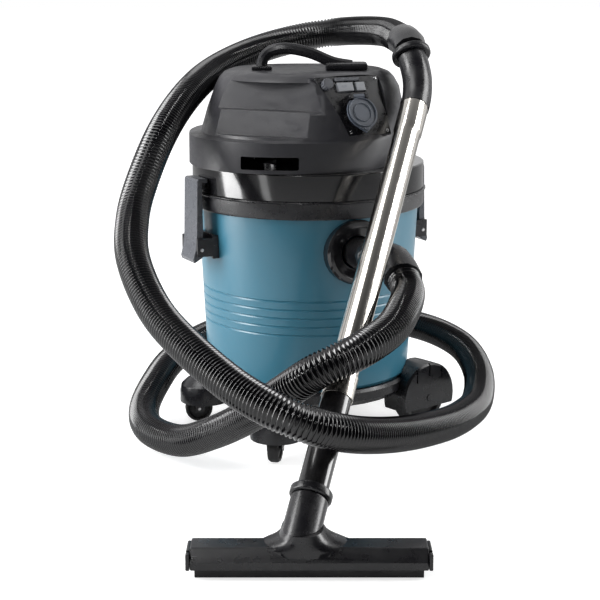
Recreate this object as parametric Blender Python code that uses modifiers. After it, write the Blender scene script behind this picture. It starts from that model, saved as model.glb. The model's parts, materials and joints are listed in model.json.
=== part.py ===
"""Wet and dry shop vacuum: a wheeled tank with a latched motor head, a ribbed suction hose that
loops round it, a bent grip, a two-piece chrome wand and a floor nozzle. The sizes below are laid
out about the tank's vertical axis, X to the right, -Y to the front, Z up from the floor."""
from math import acos, cos, pi, radians, sin, tan

import bmesh
import bpy
from mathutils import Matrix, Vector

# ---- driving dimensions, in metres ------------------------------------------------------------
GAP = 0.0003                # between pieces that touch
PIN_GAP = 0.0003            # round a pin in its hole

# tank
TANK_R_TOP = 0.167
TANK_R_FOOT = 0.154
TANK_FOOT_Z = 0.080
TANK_TOP_Z = 0.350
TANK_WALL = 0.0030
GROOVES = 5
GROOVE_TOP_Z = 0.217
GROOVE_PITCH = 0.0126
GROOVE_DEPTH = 0.0014
GROOVE_HALF = 0.0018

# collar on the tank, deck band and seal
RIM_R = TANK_R_TOP + 0.011  # the collar stands proud of the tank
RIM_LOW = 0.012             # how far the collar wraps down the tank
RIM_HIGH = 0.014            # and how far it stands above it
RIM_LIP = 0.0022
RIM_SEAT = 0.006            # width of its ledge over the tank's edge
SEAL_THICK = 0.0030
BAND_R = TANK_R_TOP + 0.0075
BAND_HIGH = 0.0387
BAND_WALL = 0.0040
DECK_PLATE = 0.0040
DECK_BORE = 0.030           # suction hole over the filter
DECK_TOP_BORE = 0.082       # motor opening in the top plate

# head cover
COVER_WALL = 0.0035
COVER_POWER = 2.3           # how square the plan of the cover is
COVER_HIGH = 0.135
SLOT_WIDE = 0.082
SLOT_HIGH = 0.0185
SLOT_X = -0.0545
SLOT_UP = 0.0050            # the slot's lower edge over the cover's foot

# window recess on the cover's front left
WINDOW_AZ = radians(-114)
WINDOW_LEFT = -0.150
WINDOW_RIGHT = 0.078
WINDOW_CORNER = 0.014
WINDOW_FACETS = ((0.050, 0.150), (0.084, 0.139), (0.0855, 0.131), (0.124, 0.119))

# control panel
PANEL_AZ = radians(-61)
PANEL_TILT = radians(26.6)
PANEL_DIST = 0.146          # axis to the panel's face at the socket
PANEL_UP = 0.078            # the socket's height over the cover's foot
PANEL_THICK = 0.0060
PANEL_BASE = -0.030
PANEL_HEAD = 0.060
PANEL_SIDES = (-0.024, 0.047, -0.057)   # left at the base, right, left at the head
SOCKET_R = 0.0215
SOCKET_CUP_R = 0.0170
SOCKET_HIGH = 0.0090
SOCKET_CUP_DEEP = 0.0065
FLAP_R = 0.0240
FLAP_THICK = 0.0030
FLAP_POINT = 0.0300
FLAP_PIN_R = 0.0012
FLAP_KNUCKLE_R = 0.0032
HINGE_WIDE = 0.030
KNUCKLE_WIDE = 0.018
BRIDGE_HIGH = 0.0040
BRIDGE_LAP = 0.0040          # how far the bridge runs back into the socket's rim
SWITCH_HIGH = 0.0135
SWITCH_WIDE = (0.0260, 0.0150)
SWITCH_PLACE = ((-0.012, 0.0430), (0.0130, 0.0430))
SWITCH_DEEP = 0.0080
SWITCH_PROUD = 0.0035
SWITCH_SLACK = 0.0010
STRIP_SIZE = (0.040, 0.0055)
STRIP_PLACE = (-0.006, 0.0548)
STRIP_PROUD = 0.0028
KNOB_R = 0.0080
KNOB_HIGH = 0.0090
KNOB_PLACE = (-0.0420, 0.0470)
KNOB_RIBS = 14
KNOB_RIB_DEEP = 0.0009

# carry handle
HANDLE_R = 0.0085
HANDLE_Y = -0.030
HANDLE_LEFT = -0.068
HANDLE_RIGHT = 0.040
HANDLE_RISE = 0.0310
HANDLE_PAD = (0.062, 0.040, 0.011)
HANDLE_HOLE_R = 0.0025

# latches
LATCH_AZ = (radians(207), radians(27))
LATCH_WIDE = 0.058
LEVER_THICK = 0.0080
LEVER_OUT = 0.0060          # lever's inner face outside the collar
LATCH_PIN_Z = 0.284
LATCH_PIN_R = 0.0025
LEVER_EYE_R = 0.0070
LEVER_TIP = 0.0200          # the curled end below the pin
CATCH_HIGH = 0.0100
CATCH_DEEP = 0.0110
CATCH_WIDE = 0.026
BRACKET_EAR = 0.0050

# inlet
INLET_AZ = radians(-66)
INLET_Z = 0.290
INLET_RING_R = 0.0470
INLET_RING_HIGH = 0.0130
INLET_BORE_R = 0.0245
INLET_SINK = 0.0060         # how deep the ring is let over the curved tank wall
ELBOW_R = 0.0225

# hose, grip and wand
HOSE_R = 0.0230
CUFF_R = 0.0260
GRIP_R = 0.0215
GRIP_SPIGOT = 0.035           # how far it goes down into the wand
COLLAR_R = 0.0285
WAND_TOP = Vector((0.151, -0.105, 0.490))
WAND_END = Vector((-0.0003, -0.5750, 0.0735))
WAND_R = 0.0190
WAND_WALL = 0.0012
WAND_SLEEVE = 0.050
WAND_SWELL = 0.0014
WAND_SPLIT = 0.465
WAND_SPIGOT = 0.042

# nozzle
NOZZLE_WIDE = 0.276
NOZZLE_DEEP = 0.046
NOZZLE_FOOT = 0.0100
NOZZLE_HIGH = 0.0250
NOZZLE_Y = -0.618
NOZZLE_WALL = 0.0050
CAP_THICK = 0.0045
HUMP_TOP = 0.0500
HUMP_STEPS = ((0.0, 0.066), (0.48, 0.0600), (0.59, 0.0480), (0.68, 0.0370), (0.80, 0.0290), (1.0, 0.0245))
PASSAGE_R = 0.0115          # the way up from the hollow into the neck
NECK_R = 0.0230
NECK_WALL = 0.0030
NECK_RING_R = 0.0260
NECK_RING_HIGH = 0.012
LIP_THICK = 0.0035
LIP_HIGH = 0.0110
INSERT_THICK = 0.0040
INSERT_SLOT = 0.0120

# base and wheels
BASE_R = 0.158
BASE_THICK = 0.0240
ARM_WIDE = 0.044
ARM_THICK = 0.018
ARM_PAST = 0.008
BOWL_R = 0.0380
BOWL_WALL = 0.0035
BOWL_RIM_Z = 0.033
BOWL_ROOF_Z = 0.0520
CASTER_PLACES = {"front": (-0.0450, -0.2150), "left": (-0.1590, -0.0260)}
CASTER_R = 0.0210
CASTER_WIDE = 0.0160
CASTER_TRAIL = 0.0095
STEM_R = 0.0045
STEM_HIGH = 0.0190
FORK_PLATE_R = 0.0150
FORK_PLATE = 0.0035
FORK_EAR = 0.0028
WHEEL_R = 0.0450
WHEEL_WIDE = 0.0280
WHEEL_RING = 0.175          # radius of the wheel centres round the tank's axis
WHEEL_AZ = {"right": radians(-13), "back": radians(84)}
AXLE_AZ = radians(-50)
AXLE_R = 0.0050
ARCH_GAP = 0.0045
ARCH_WALL = 0.0045
ARCH_CUT_Z = 0.030
ARCH_SLOT = 0.0025

# inside
FAN_R = 0.072
FAN_HIGH = 0.024
IMPELLER_R = 0.060
IMPELLER_HIGH = 0.014
BLADES = 8
MOTOR_R = 0.048
MOTOR_HIGH = 0.070
SHAFT_R = 0.0040
CAGE_R = 0.046
CAGE_HIGH = 0.090
CAGE_WALL = 0.0025
FILTER_WALL = 0.0080
BALL_R = 0.0180
BALL_RISE = 0.040

# heights that follow
RIM_Z0 = TANK_TOP_Z - RIM_LOW
RIM_Z1 = TANK_TOP_Z + RIM_HIGH
BAND_Z0 = RIM_Z1 + GAP
BAND_Z1 = BAND_Z0 + BAND_HIGH
COVER_Z0 = BAND_Z1 + GAP
COVER_Z1 = COVER_Z0 + COVER_HIGH
DECK_Z0 = BAND_Z0 + SEAL_THICK + GAP
DECK_Z1 = DECK_Z0 + DECK_PLATE

UP = Vector((0.0, 0.0, 1.0))


# ---- scene and small tools --------------------------------------------------------------------
def clear_scene():
    for obj in list(bpy.data.objects):
        bpy.data.objects.remove(obj, do_unlink=True)


def new_collection(name):
    made = bpy.data.collections.new(name)
    bpy.context.scene.collection.children.link(made)
    return made


clear_scene()
PARTS = new_collection("shop_vacuum")
TOOLS = new_collection("tools")
ROOT = bpy.data.objects.new("root", None)
PARTS.objects.link(ROOT)


def material(name, color, roughness, metallic=0.0):
    mat = bpy.data.materials.new(name)
    mat.use_nodes = True
    shader = mat.node_tree.nodes["Principled BSDF"]
    shader.inputs["Base Color"].default_value = (*color, 1.0)
    shader.inputs["Roughness"].default_value = roughness
    shader.inputs["Metallic"].default_value = metallic
    return mat


TEAL = material("tank_teal", (0.085, 0.27, 0.37), 0.38)
CHARCOAL = material("cover_charcoal", (0.030, 0.031, 0.035), 0.55)
GLOSS = material("gloss_black", (0.008, 0.008, 0.009), 0.15)
SATIN = material("satin_black", (0.016, 0.016, 0.018), 0.40)
LEVER = material("lever_grey", (0.075, 0.078, 0.085), 0.38)
FLAP = material("flap_grey", (0.14, 0.16, 0.19), 0.50)
SWITCH = material("switch_grey", (0.50, 0.51, 0.52), 0.42)
CHROME = material("wand_chrome", (0.78, 0.77, 0.74), 0.10, 1.0)
STEEL = material("steel", (0.55, 0.55, 0.56), 0.30, 1.0)
RUBBER = material("rubber", (0.012, 0.012, 0.013), 0.70)
HOSE = material("hose_black", (0.010, 0.010, 0.011), 0.28)
PAPER = material("filter_media", (0.72, 0.69, 0.60), 0.85)


def place(obj, spot, turn=None):
    """Put an object at a spot, turned by a rotation matrix."""
    obj.matrix_world = Matrix.Translation(spot) @ (turn.to_4x4() if turn else Matrix())


def part(name, mesh, mat, spot=(0, 0, 0), turn=None):
    obj = bpy.data.objects.new(name, mesh)
    PARTS.objects.link(obj)
    obj.parent = ROOT
    if mat:
        mesh.materials.clear()
        mesh.materials.append(mat)
    place(obj, spot, turn)
    return obj


def tool(name, mesh, spot=(0, 0, 0), turn=None):
    """A cutter, or a shape that is joined into a part."""
    obj = bpy.data.objects.new(name, mesh)
    TOOLS.objects.link(obj)
    obj.hide_render = True
    obj.display_type = "WIRE"
    place(obj, spot, turn)
    return obj


def combine(obj, other, operation):
    mod = obj.modifiers.new(other.name, "BOOLEAN")
    mod.operation = operation
    mod.solver = "EXACT"
    mod.object = other
    return obj


def cut(obj, *others):
    for other in others:
        combine(obj, other, "DIFFERENCE")
    return obj


def join(obj, *others):
    for other in others:
        combine(obj, other, "UNION")
    return obj


def bevel(obj, width, segments=2, angle=35):
    mod = obj.modifiers.new("bevel", "BEVEL")
    mod.width = width
    mod.segments = segments
    mod.limit_method = "ANGLE"
    mod.angle_limit = radians(angle)
    return obj


def finish_mesh(bm, name):
    mesh = bpy.data.meshes.new(name)
    bmesh.ops.recalc_face_normals(bm, faces=bm.faces)
    bm.to_mesh(mesh)
    bm.free()
    return mesh


def block(name, size, centre=(0, 0, 0)):
    """A box of a given size about a centre."""
    bm = bmesh.new()
    bmesh.ops.create_cube(bm, size=1.0)
    bmesh.ops.scale(bm, vec=size, verts=bm.verts)
    bmesh.ops.translate(bm, vec=centre, verts=bm.verts)
    return finish_mesh(bm, name)


def rod(name, radius, low, high, sides=24):
    """A cylinder along Z from low to high, with a corner straight down X."""
    bm = bmesh.new()
    bmesh.ops.create_cone(bm, cap_ends=True, segments=sides, radius1=radius, radius2=radius,
                          depth=high - low)
    bmesh.ops.translate(bm, vec=(0, 0, (high + low) / 2), verts=bm.verts)
    return finish_mesh(bm, name)


def loft(name, rings):
    """A closed solid through rings of equal point count."""
    bm = bmesh.new()
    made = [[bm.verts.new(p) for p in ring] for ring in rings]
    count = len(made[0])
    for low, high in zip(made, made[1:]):
        for i in range(count):
            j = (i + 1) % count
            bm.faces.new((low[i], low[j], high[j], high[i]))
    bm.faces.new(made[0][::-1])
    bm.faces.new(made[-1])
    return finish_mesh(bm, name)


def turned(obj_maker, name, profile, mat=None, spot=(0, 0, 0), turn=None, steps=32, ring=True):
    """Turn a profile of (radius, height) points, given down its outer side, about Z."""
    mesh = bpy.data.meshes.new(name)
    count = len(profile)
    edges = [(i, i + 1) for i in range(count - 1)] + ([(count - 1, 0)] if ring else [])
    mesh.from_pydata([(r, 0.0, z) for r, z in profile], edges, [])
    obj = obj_maker(name, mesh, mat, spot, turn) if obj_maker is part else tool(name, mesh, spot, turn)
    screw = obj.modifiers.new("turn", "SCREW")
    screw.steps = screw.render_steps = steps
    screw.use_merge_vertices = True
    screw.merge_threshold = 0.00001
    screw.use_smooth_shade = True
    return obj


def outline(name, points, thickness):
    """A flat outline in XY with a thickness about Z = 0, as a clean closed mesh."""
    curve = bpy.data.curves.new(name, "CURVE")
    curve.dimensions = "2D"
    curve.fill_mode = "BOTH"
    curve.extrude = thickness / 2
    spline = curve.splines.new("POLY")
    spline.points.add(len(points) - 1)
    for point, (x, y) in zip(spline.points, points):
        point.co = (x, y, 0.0, 1.0)
    spline.use_cyclic_u = True
    return curve_mesh(name, curve)


def curve_mesh(name, curve):
    """The welded mesh of a curve, so that it can be cut and joined."""
    probe = bpy.data.objects.new(name + "_curve", curve)
    bpy.context.scene.collection.objects.link(probe)
    graph = bpy.context.evaluated_depsgraph_get()
    mesh = bpy.data.meshes.new_from_object(probe.evaluated_get(graph))
    bpy.data.objects.remove(probe, do_unlink=True)
    bpy.data.curves.remove(curve)
    bm = bmesh.new()
    bm.from_mesh(mesh)
    bmesh.ops.remove_doubles(bm, verts=bm.verts, dist=0.00001)
    bpy.data.meshes.remove(mesh)
    return finish_mesh(bm, name)


def smooth_line(route, count):
    """Points at even steps along a Catmull-Rom curve through a route."""
    way = [Vector(p) for p in route]
    way = [2 * way[0] - way[1], *way, 2 * way[-1] - way[-2]]
    fine = []
    for a, b, c, d in zip(way, way[1:], way[2:], way[3:]):
        for k in range(24):
            t = k / 24
            fine.append(0.5 * (2 * b + (c - a) * t + (2 * a - 5 * b + 4 * c - d) * t ** 2
                               + (3 * b - 3 * c + d - a) * t ** 3))
    fine.append(way[-2].copy())
    travel = [0.0]
    for p, q in zip(fine, fine[1:]):
        travel.append(travel[-1] + (q - p).length)
    points, k = [], 0
    for i in range(count):
        goal = travel[-1] * i / (count - 1)
        while k < len(travel) - 2 and travel[k + 1] < goal:
            k += 1
        share = (goal - travel[k]) / max(travel[k + 1] - travel[k], 1e-9)
        points.append(fine[k].lerp(fine[k + 1], min(share, 1.0)))
    return points


def tube_curve(name, points, radius, resolution=3):
    curve = bpy.data.curves.new(name, "CURVE")
    curve.dimensions = "3D"
    curve.bevel_depth = radius
    curve.bevel_resolution = resolution
    curve.use_fill_caps = True
    spline = curve.splines.new("POLY")
    spline.points.add(len(points) - 1)
    for point, p in zip(spline.points, points):
        point.co = (*p, 1.0)
    return curve


def aim(direction):
    """Rotation that takes +Z to a direction, X staying level."""
    z = Vector(direction).normalized()
    x = UP.cross(z).normalized() if abs(z.z) < 0.999 else Vector((1, 0, 0))
    y = z.cross(x)
    return Matrix((x, y, z)).transposed()


def facing(azimuth, tilt=0.0):
    """Rotation with Z out along an azimuth, Y up the face and X to the right."""
    out = Vector((cos(azimuth), sin(azimuth), 0.0))
    right = Vector((-out.y, out.x, 0.0))
    normal = out * cos(tilt) + UP * sin(tilt)
    rise = UP * cos(tilt) - out * sin(tilt)
    return Matrix((right, rise, normal)).transposed()


# ---- tank, collar, seal and deck --------------------------------------------------------------
def tank_radius(z):
    """Outer radius of the tapered tank wall at a height."""
    share = (z - TANK_FOOT_Z) / (TANK_TOP_Z - TANK_FOOT_Z)
    return TANK_R_FOOT + (TANK_R_TOP - TANK_R_FOOT) * share


def make_tank():
    outer = [(tank_radius(TANK_TOP_Z), TANK_TOP_Z)]
    for i in range(GROOVES):
        z = GROOVE_TOP_Z - i * GROOVE_PITCH
        outer += [(tank_radius(z + GROOVE_HALF), z + GROOVE_HALF),
                  (tank_radius(z) - GROOVE_DEPTH, z),
                  (tank_radius(z - GROOVE_HALF), z - GROOVE_HALF)]
    outer += [(TANK_R_FOOT, TANK_FOOT_Z + 0.006), (TANK_R_FOOT - 0.005, TANK_FOOT_Z),
              (0.0, TANK_FOOT_Z)]
    floor_z = TANK_FOOT_Z + TANK_WALL
    inner = [(0.0, floor_z), (TANK_R_FOOT - TANK_WALL - 0.004, floor_z),
             (TANK_R_FOOT - TANK_WALL, floor_z + 0.004),
             (TANK_R_TOP - TANK_WALL, TANK_TOP_Z)]
    tank = turned(part, "tank", outer + inner, TEAL, steps=44)
    mouth = tool("tank_inlet_hole", rod("tank_inlet_hole", INLET_BORE_R + GAP, -0.05, 0.05),
                 inlet_point(0.0), aim(inlet_axis()))
    return cut(tank, mouth)


def make_collar():
    seat = tank_radius(TANK_TOP_Z) - RIM_SEAT
    inside = TANK_R_TOP + GAP * 2
    profile = [(seat, RIM_Z1), (RIM_R - 0.001, RIM_Z1), (RIM_R, RIM_Z1 - RIM_LIP / 2),
               (RIM_R, RIM_Z1 - RIM_LIP), (RIM_R - 0.002, RIM_Z1 - RIM_LIP - 0.001),
               (RIM_R - 0.003, RIM_Z0 + 0.003), (RIM_R - 0.005, RIM_Z0), (inside, RIM_Z0),
               (inside, TANK_TOP_Z + GAP), (seat, TANK_TOP_Z + GAP)]
    turned(part, "tank_rim", profile, SATIN, steps=44)


def make_seal():
    outer = BAND_R - BAND_WALL - GAP * 2
    profile = [(outer - 0.008, DECK_Z0 - GAP), (outer, DECK_Z0 - GAP), (outer, BAND_Z0),
               (outer - 0.008, BAND_Z0)]
    turned(part, "head_seal", profile, RUBBER, steps=32)


def make_deck():
    top = BAND_Z1
    profile = [(DECK_TOP_BORE, top), (BAND_R - 0.0015, top), (BAND_R, top - 0.0015),
               (BAND_R, BAND_Z0), (BAND_R - BAND_WALL, BAND_Z0), (BAND_R - BAND_WALL, DECK_Z0),
               (DECK_BORE, DECK_Z0), (DECK_BORE, DECK_Z1), (BAND_R - BAND_WALL, DECK_Z1),
               (BAND_R - BAND_WALL, top - DECK_PLATE), (DECK_TOP_BORE, top - DECK_PLATE)]
    turned(part, "motor_deck", profile, GLOSS, steps=44)


# ---- head cover -------------------------------------------------------------------------------
# height over the foot, left, right, front, back of the cover's plan
COVER_PLAN = ((0.0, -0.178, 0.128, -0.171, 0.168), (0.020, -0.178, 0.138, -0.171, 0.168),
              (0.043, -0.178, 0.143, -0.170, 0.167), (0.046, -0.160, 0.143, -0.166, 0.161),
              (0.080, -0.150, 0.142, -0.155, 0.152), (0.110, -0.139, 0.136, -0.141, 0.140),
              (0.124, -0.132, 0.128, -0.132, 0.132), (0.131, -0.125, 0.121, -0.124, 0.125),
              (0.135, -0.114, 0.110, -0.113, 0.114))


def oval(left, right, front, back, z, count=40):
    mid_x, mid_y = (left + right) / 2, (front + back) / 2
    half_x, half_y = (right - left) / 2, (back - front) / 2
    ring = []
    for i in range(count):
        c, s = cos(2 * pi * i / count), sin(2 * pi * i / count)
        x = abs(c) ** (2 / COVER_POWER) * (1 if c > 0 else -1)
        y = abs(s) ** (2 / COVER_POWER) * (1 if s > 0 else -1)
        ring.append((mid_x + half_x * x, mid_y + half_y * y, z))
    return ring


def cover_rings(inset):
    """Outer shell for inset 0, else the hollow inside it, open at the foot."""
    rings = []
    rows = COVER_PLAN if inset == 0 else COVER_PLAN[:1] + COVER_PLAN[2:6] + COVER_PLAN[-2:]
    for up, left, right, front, back in rows:
        z = COVER_Z0 + up * COVER_HIGH / COVER_PLAN[-1][0]
        z = z - inset if up > 0 else z - 4 * inset
        rings.append(oval(left + inset, right - inset, front + inset, back - inset, z))
    return rings


def window_pocket(name, grow):
    """The stepped recess: two slanted facets with a step, run out to the left, rounded right."""
    far = 0.26
    low, mid_low, mid_high, high = WINDOW_FACETS
    out = Vector((cos(WINDOW_AZ), sin(WINDOW_AZ), 0.0))
    along = Vector((-out.y, out.x, 0.0))

    def section(t, shrink):
        z0, z1 = low[0] + shrink - grow, high[0] - shrink + grow
        n0 = low[1] + (mid_low[1] - low[1]) * (z0 - low[0]) / (mid_low[0] - low[0])
        n1 = mid_high[1] + (high[1] - mid_high[1]) * (z1 - mid_high[0]) / (high[0] - mid_high[0])
        flat = ((far, z0), (n0 - grow, z0), (mid_low[1] - grow, mid_low[0] - grow),
                (mid_high[1] - grow, mid_high[0] - grow), (n1 - grow, z1), (far, z1))
        return [out * n + along * t + UP * (COVER_Z0 + z) for n, z in flat]

    rings = [section(WINDOW_LEFT, 0.0)]
    for step in range(6):
        turn = step * pi / 10
        rings.append(section(WINDOW_RIGHT + grow - WINDOW_CORNER * (1 - sin(turn)),
                             WINDOW_CORNER * (1 - cos(turn))))
    return loft(name, rings)


def panel_turn():
    return facing(PANEL_AZ, PANEL_TILT)


def panel_spot(x, y, out=0.0):
    """World point at x right, y up the panel and out from its face."""
    centre = Vector((cos(PANEL_AZ), sin(PANEL_AZ), 0.0)) * PANEL_DIST
    centre.z = COVER_Z0 + PANEL_UP
    return centre + panel_turn() @ Vector((x, y, out))


def panel_outline(grow):
    base_left, right, head_left = PANEL_SIDES
    return [(base_left - grow, PANEL_BASE - grow), (right + grow, PANEL_BASE - grow),
            (right + grow, PANEL_HEAD + grow), (head_left - grow, PANEL_HEAD + grow)]


def panel_pocket(name, grow):
    rings = [[(x, y, h) for x, y in panel_outline(grow)] for h in (-PANEL_THICK - grow, 0.08)]
    return tool(name, loft(name, rings), panel_spot(0, 0), panel_turn())


def cover_back(x, up):
    """Y of the cover's back surface at x, at a height over its foot."""
    rows = [row for row in COVER_PLAN if row[0] <= up][-1]
    mid, half = (rows[1] + rows[2]) / 2, (rows[2] - rows[1]) / 2
    share = (1 - (abs(x - mid) / half) ** COVER_POWER) ** (1 / COVER_POWER)
    return (rows[3] + rows[4]) / 2 + (rows[4] - rows[3]) / 2 * share


def make_cover():
    cover = part("head_cover", loft("head_cover", cover_rings(0.0)), CHARCOAL)
    hollow = tool("cover_hollow", loft("cover_hollow", cover_rings(COVER_WALL)))
    cut(hollow, tool("window_wall", window_pocket("window_wall", COVER_WALL)),
        panel_pocket("panel_wall", COVER_WALL))
    slot = tool("slot", block("slot", (SLOT_WIDE, 0.06, SLOT_HIGH)),
                (SLOT_X, COVER_PLAN[0][3] + 0.010, COVER_Z0 + SLOT_UP + SLOT_HIGH / 2))
    bevel(slot, 0.002, 2)
    cut(cover, tool("window", window_pocket("window", 0.0)), panel_pocket("panel_seat", GAP),
        hollow, slot, grille_seat(), gland_hole())
    return cover


GRILLE = (0.100, 0.028, 0.0030)
GRILLE_SLOTS = 9
GRILLE_X = -0.018
GRILLE_UP = 0.024
GLAND_R = 0.0090
GLAND_X = 0.070
GLAND_OUT = 0.016


def grille_seat():
    return tool("grille_seat", block("grille_seat", (GRILLE[0] + 2 * GAP, 0.05, GRILLE[1] + 2 * GAP)),
                (GRILLE_X, cover_back(GRILLE_X, GRILLE_UP), COVER_Z0 + GRILLE_UP))


def gland_hole():
    return tool("gland_hole", rod("gland_hole", GLAND_R + GAP, -0.03, 0.03),
                (GLAND_X, cover_back(GLAND_X, GRILLE_UP), COVER_Z0 + GRILLE_UP), aim((0, 1, 0)))


def make_back_pieces():
    y = cover_back(GRILLE_X, GRILLE_UP) - GRILLE[2] / 2 - 0.0008
    grille = part("exhaust_grille", block("exhaust_grille", (GRILLE[0], GRILLE[2], GRILLE[1])),
                  SATIN, (GRILLE_X, y, COVER_Z0 + GRILLE_UP))
    pitch = (GRILLE[0] - 0.012) / GRILLE_SLOTS
    for i in range(GRILLE_SLOTS):
        x = GRILLE_X + (i - (GRILLE_SLOTS - 1) / 2) * pitch
        cut(grille, tool(f"louvre_{i}", block("louvre", (pitch * 0.45, 0.02, GRILLE[1] * 0.72)),
                         (x, y, COVER_Z0 + GRILLE_UP)))
    back = cover_back(GLAND_X, GRILLE_UP)
    profile = [(0.0, GLAND_OUT), (0.0045, GLAND_OUT), (0.0060, 0.003), (GLAND_R, 0.0028),
               (GLAND_R, -0.008), (0.0, -0.008)]
    turned(part, "cable_gland", profile, RUBBER, (GLAND_X, back, COVER_Z0 + GRILLE_UP),
           aim((0, 1, 0)), steps=20, ring=False)


# ---- control panel ----------------------------------------------------------------------------
def make_panel():
    rings = [[(x, y, h) for x, y in panel_outline(0.0)] for h in (-PANEL_THICK, 0.0)]
    panel = part("control_panel", loft("control_panel", rings), SATIN, panel_spot(0, 0), panel_turn())
    slack = 2 * SWITCH_SLACK
    for i, (wide, spot) in enumerate(zip(SWITCH_WIDE, SWITCH_PLACE)):
        cut(panel, tool(f"switch_hole_{i}", block("hole", (wide + slack, SWITCH_HIGH + slack, 0.03)),
                        panel_spot(*spot), panel_turn()))
    cut(panel, tool("strip_hole", block("hole", (STRIP_SIZE[0] + 2 * GAP, STRIP_SIZE[1] + 2 * GAP, 0.03)),
                    panel_spot(*STRIP_PLACE), panel_turn()))


def make_switches():
    for name, wide, spot in zip(("switch_power", "switch_mode"), SWITCH_WIDE, SWITCH_PLACE):
        mesh = block(name, (wide, SWITCH_HIGH, SWITCH_DEEP), (0, 0, SWITCH_PROUD - SWITCH_DEEP / 2))
        bevel(part(name, mesh, SWITCH, panel_spot(*spot), panel_turn()), 0.0010)
    mesh = block("filter_button", (*STRIP_SIZE, 0.0060), (0, 0, STRIP_PROUD - 0.0030))
    bevel(part("filter_button", mesh, LEVER, panel_spot(*STRIP_PLACE), panel_turn()), 0.0008)
    points = []
    for i in range(KNOB_RIBS * 4):
        radius = KNOB_R - (KNOB_RIB_DEEP if i % 4 < 2 else 0.0)
        turn = 2 * pi * i / (KNOB_RIBS * 4)
        points.append((radius * cos(turn), radius * sin(turn)))
    part("speed_knob", outline("speed_knob", points, KNOB_HIGH), LEVER,
         panel_spot(*KNOB_PLACE, KNOB_HIGH / 2 + GAP), panel_turn())


def hinge_out():
    """Height of the flap's hinge axis over the panel."""
    return GAP * 2 + SOCKET_HIGH + FLAP_THICK / 2


def make_socket():
    profile = [(SOCKET_CUP_R, SOCKET_HIGH), (SOCKET_R - 0.001, SOCKET_HIGH),
               (SOCKET_R, SOCKET_HIGH - 0.001), (SOCKET_R, 0.0), (0.0, 0.0)]
    floor = SOCKET_HIGH - SOCKET_CUP_DEEP
    body = turned(part, "socket_body", [(0.0, floor), (SOCKET_CUP_R, floor), *profile], SATIN,
                  panel_spot(0, 0, GAP), panel_turn(), steps=28, ring=False)
    eye_y, eye_out = FLAP_R + FLAP_KNUCKLE_R * 0.2, hinge_out() - GAP
    ear = (HINGE_WIDE - KNUCKLE_WIDE) / 2 - GAP
    for side in (-1, 1):
        x = side * (HINGE_WIDE / 2 - ear / 2)
        join(body, tool(f"ear_{side}", block("ear", (ear, 0.0070, eye_out + FLAP_KNUCKLE_R),
                                             (0, 0, (eye_out + FLAP_KNUCKLE_R) / 2)),
                        panel_spot(x, eye_y, GAP), panel_turn()))
    near, far = SOCKET_R - BRIDGE_LAP, eye_y + BRIDGE_LAP / 2
    bridge = block("bridge", (HINGE_WIDE, far - near, BRIDGE_HIGH), (0, (near + far) / 2, BRIDGE_HIGH / 2))
    join(body, tool("bridge", bridge, panel_spot(0, 0, GAP), panel_turn()))
    across = panel_turn() @ aim((1, 0, 0))
    hole = rod("pin_hole", FLAP_PIN_R + PIN_GAP, -0.03, 0.03, 16)
    spot = panel_spot(0, eye_y, hinge_out())
    cut(body, tool("ear_hole", hole, spot, across))
    pin = rod("flap_pin", FLAP_PIN_R, -HINGE_WIDE / 2, HINGE_WIDE / 2, 16)
    part("flap_pin", pin, STEEL, spot, across)
    points = []
    for i in range(40):
        turn = radians(-55) + radians(290) * i / 39
        points.append((FLAP_R * cos(turn), FLAP_R * sin(turn)))
    points.append((0.0, -FLAP_POINT))
    lid = tool("lid", outline("lid", points, FLAP_THICK), panel_spot(0, 0, hinge_out()), panel_turn())
    clear_x = KNUCKLE_WIDE / 2 + GAP
    for side in (-1, 1):
        cut(lid, tool(f"lid_notch_{side}", block("notch", (0.02, 0.02, 0.02)),
                      panel_spot(side * (clear_x + 0.01), FLAP_R + 0.0048, hinge_out()), panel_turn()))
    flap = part("socket_flap", rod("socket_flap", FLAP_KNUCKLE_R, -KNUCKLE_WIDE / 2, KNUCKLE_WIDE / 2, 20),
                FLAP, spot, across)
    join(flap, lid)
    cut(flap, tool("knuckle_hole", hole.copy(), spot, across))


# ---- handle and latches -----------------------------------------------------------------------
def make_handle():
    top = COVER_Z1 + GAP
    left, right, rise = HANDLE_LEFT, HANDLE_RIGHT, HANDLE_RISE
    route = [(left, HANDLE_Y, top + 0.002), (left + 0.001, HANDLE_Y, top + rise * 0.45),
             (left + 0.012, HANDLE_Y, top + rise * 0.86), (left + 0.036, HANDLE_Y, top + rise),
             (left + 0.070, HANDLE_Y, top + rise * 0.80), (right - 0.004, HANDLE_Y, top + rise * 0.36),
             (right + 0.024, HANDLE_Y, top + 0.006)]
    bar = curve_mesh("carry_handle", tube_curve("bar", smooth_line(route, 22), HANDLE_R, 3))
    handle = part("carry_handle", bar, SATIN)
    long, wide, thick = HANDLE_PAD
    pad = tool("pad_right", block("pad", (long, wide, thick), (0, 0, thick / 2)),
               (right + 0.016, HANDLE_Y, top))
    foot = tool("pad_left", block("foot", (0.030, 0.026, 0.006), (0, 0, 0.003)), (left, HANDLE_Y, top))
    join(handle, bevel(pad, 0.004), bevel(foot, 0.002))
    trim = tool("under_handle", block("trim", (0.4, 0.4, 0.05), (0, 0, -0.025)), (0, 0, top))
    cut(handle, trim)
    for x in (-0.012, 0.012):
        cut(handle, tool(f"pad_hole_{x}", rod("pad_hole", HANDLE_HOLE_R, -0.004, 0.05, 12),
                         (right + 0.030, HANDLE_Y + x, top + thick * 0.5)))
    return handle


def latch_point(azimuth, out, z, side=0.0):
    turn = facing(azimuth)
    return turn @ Vector((side, 0.0, RIM_R + out)) + UP * z


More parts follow.
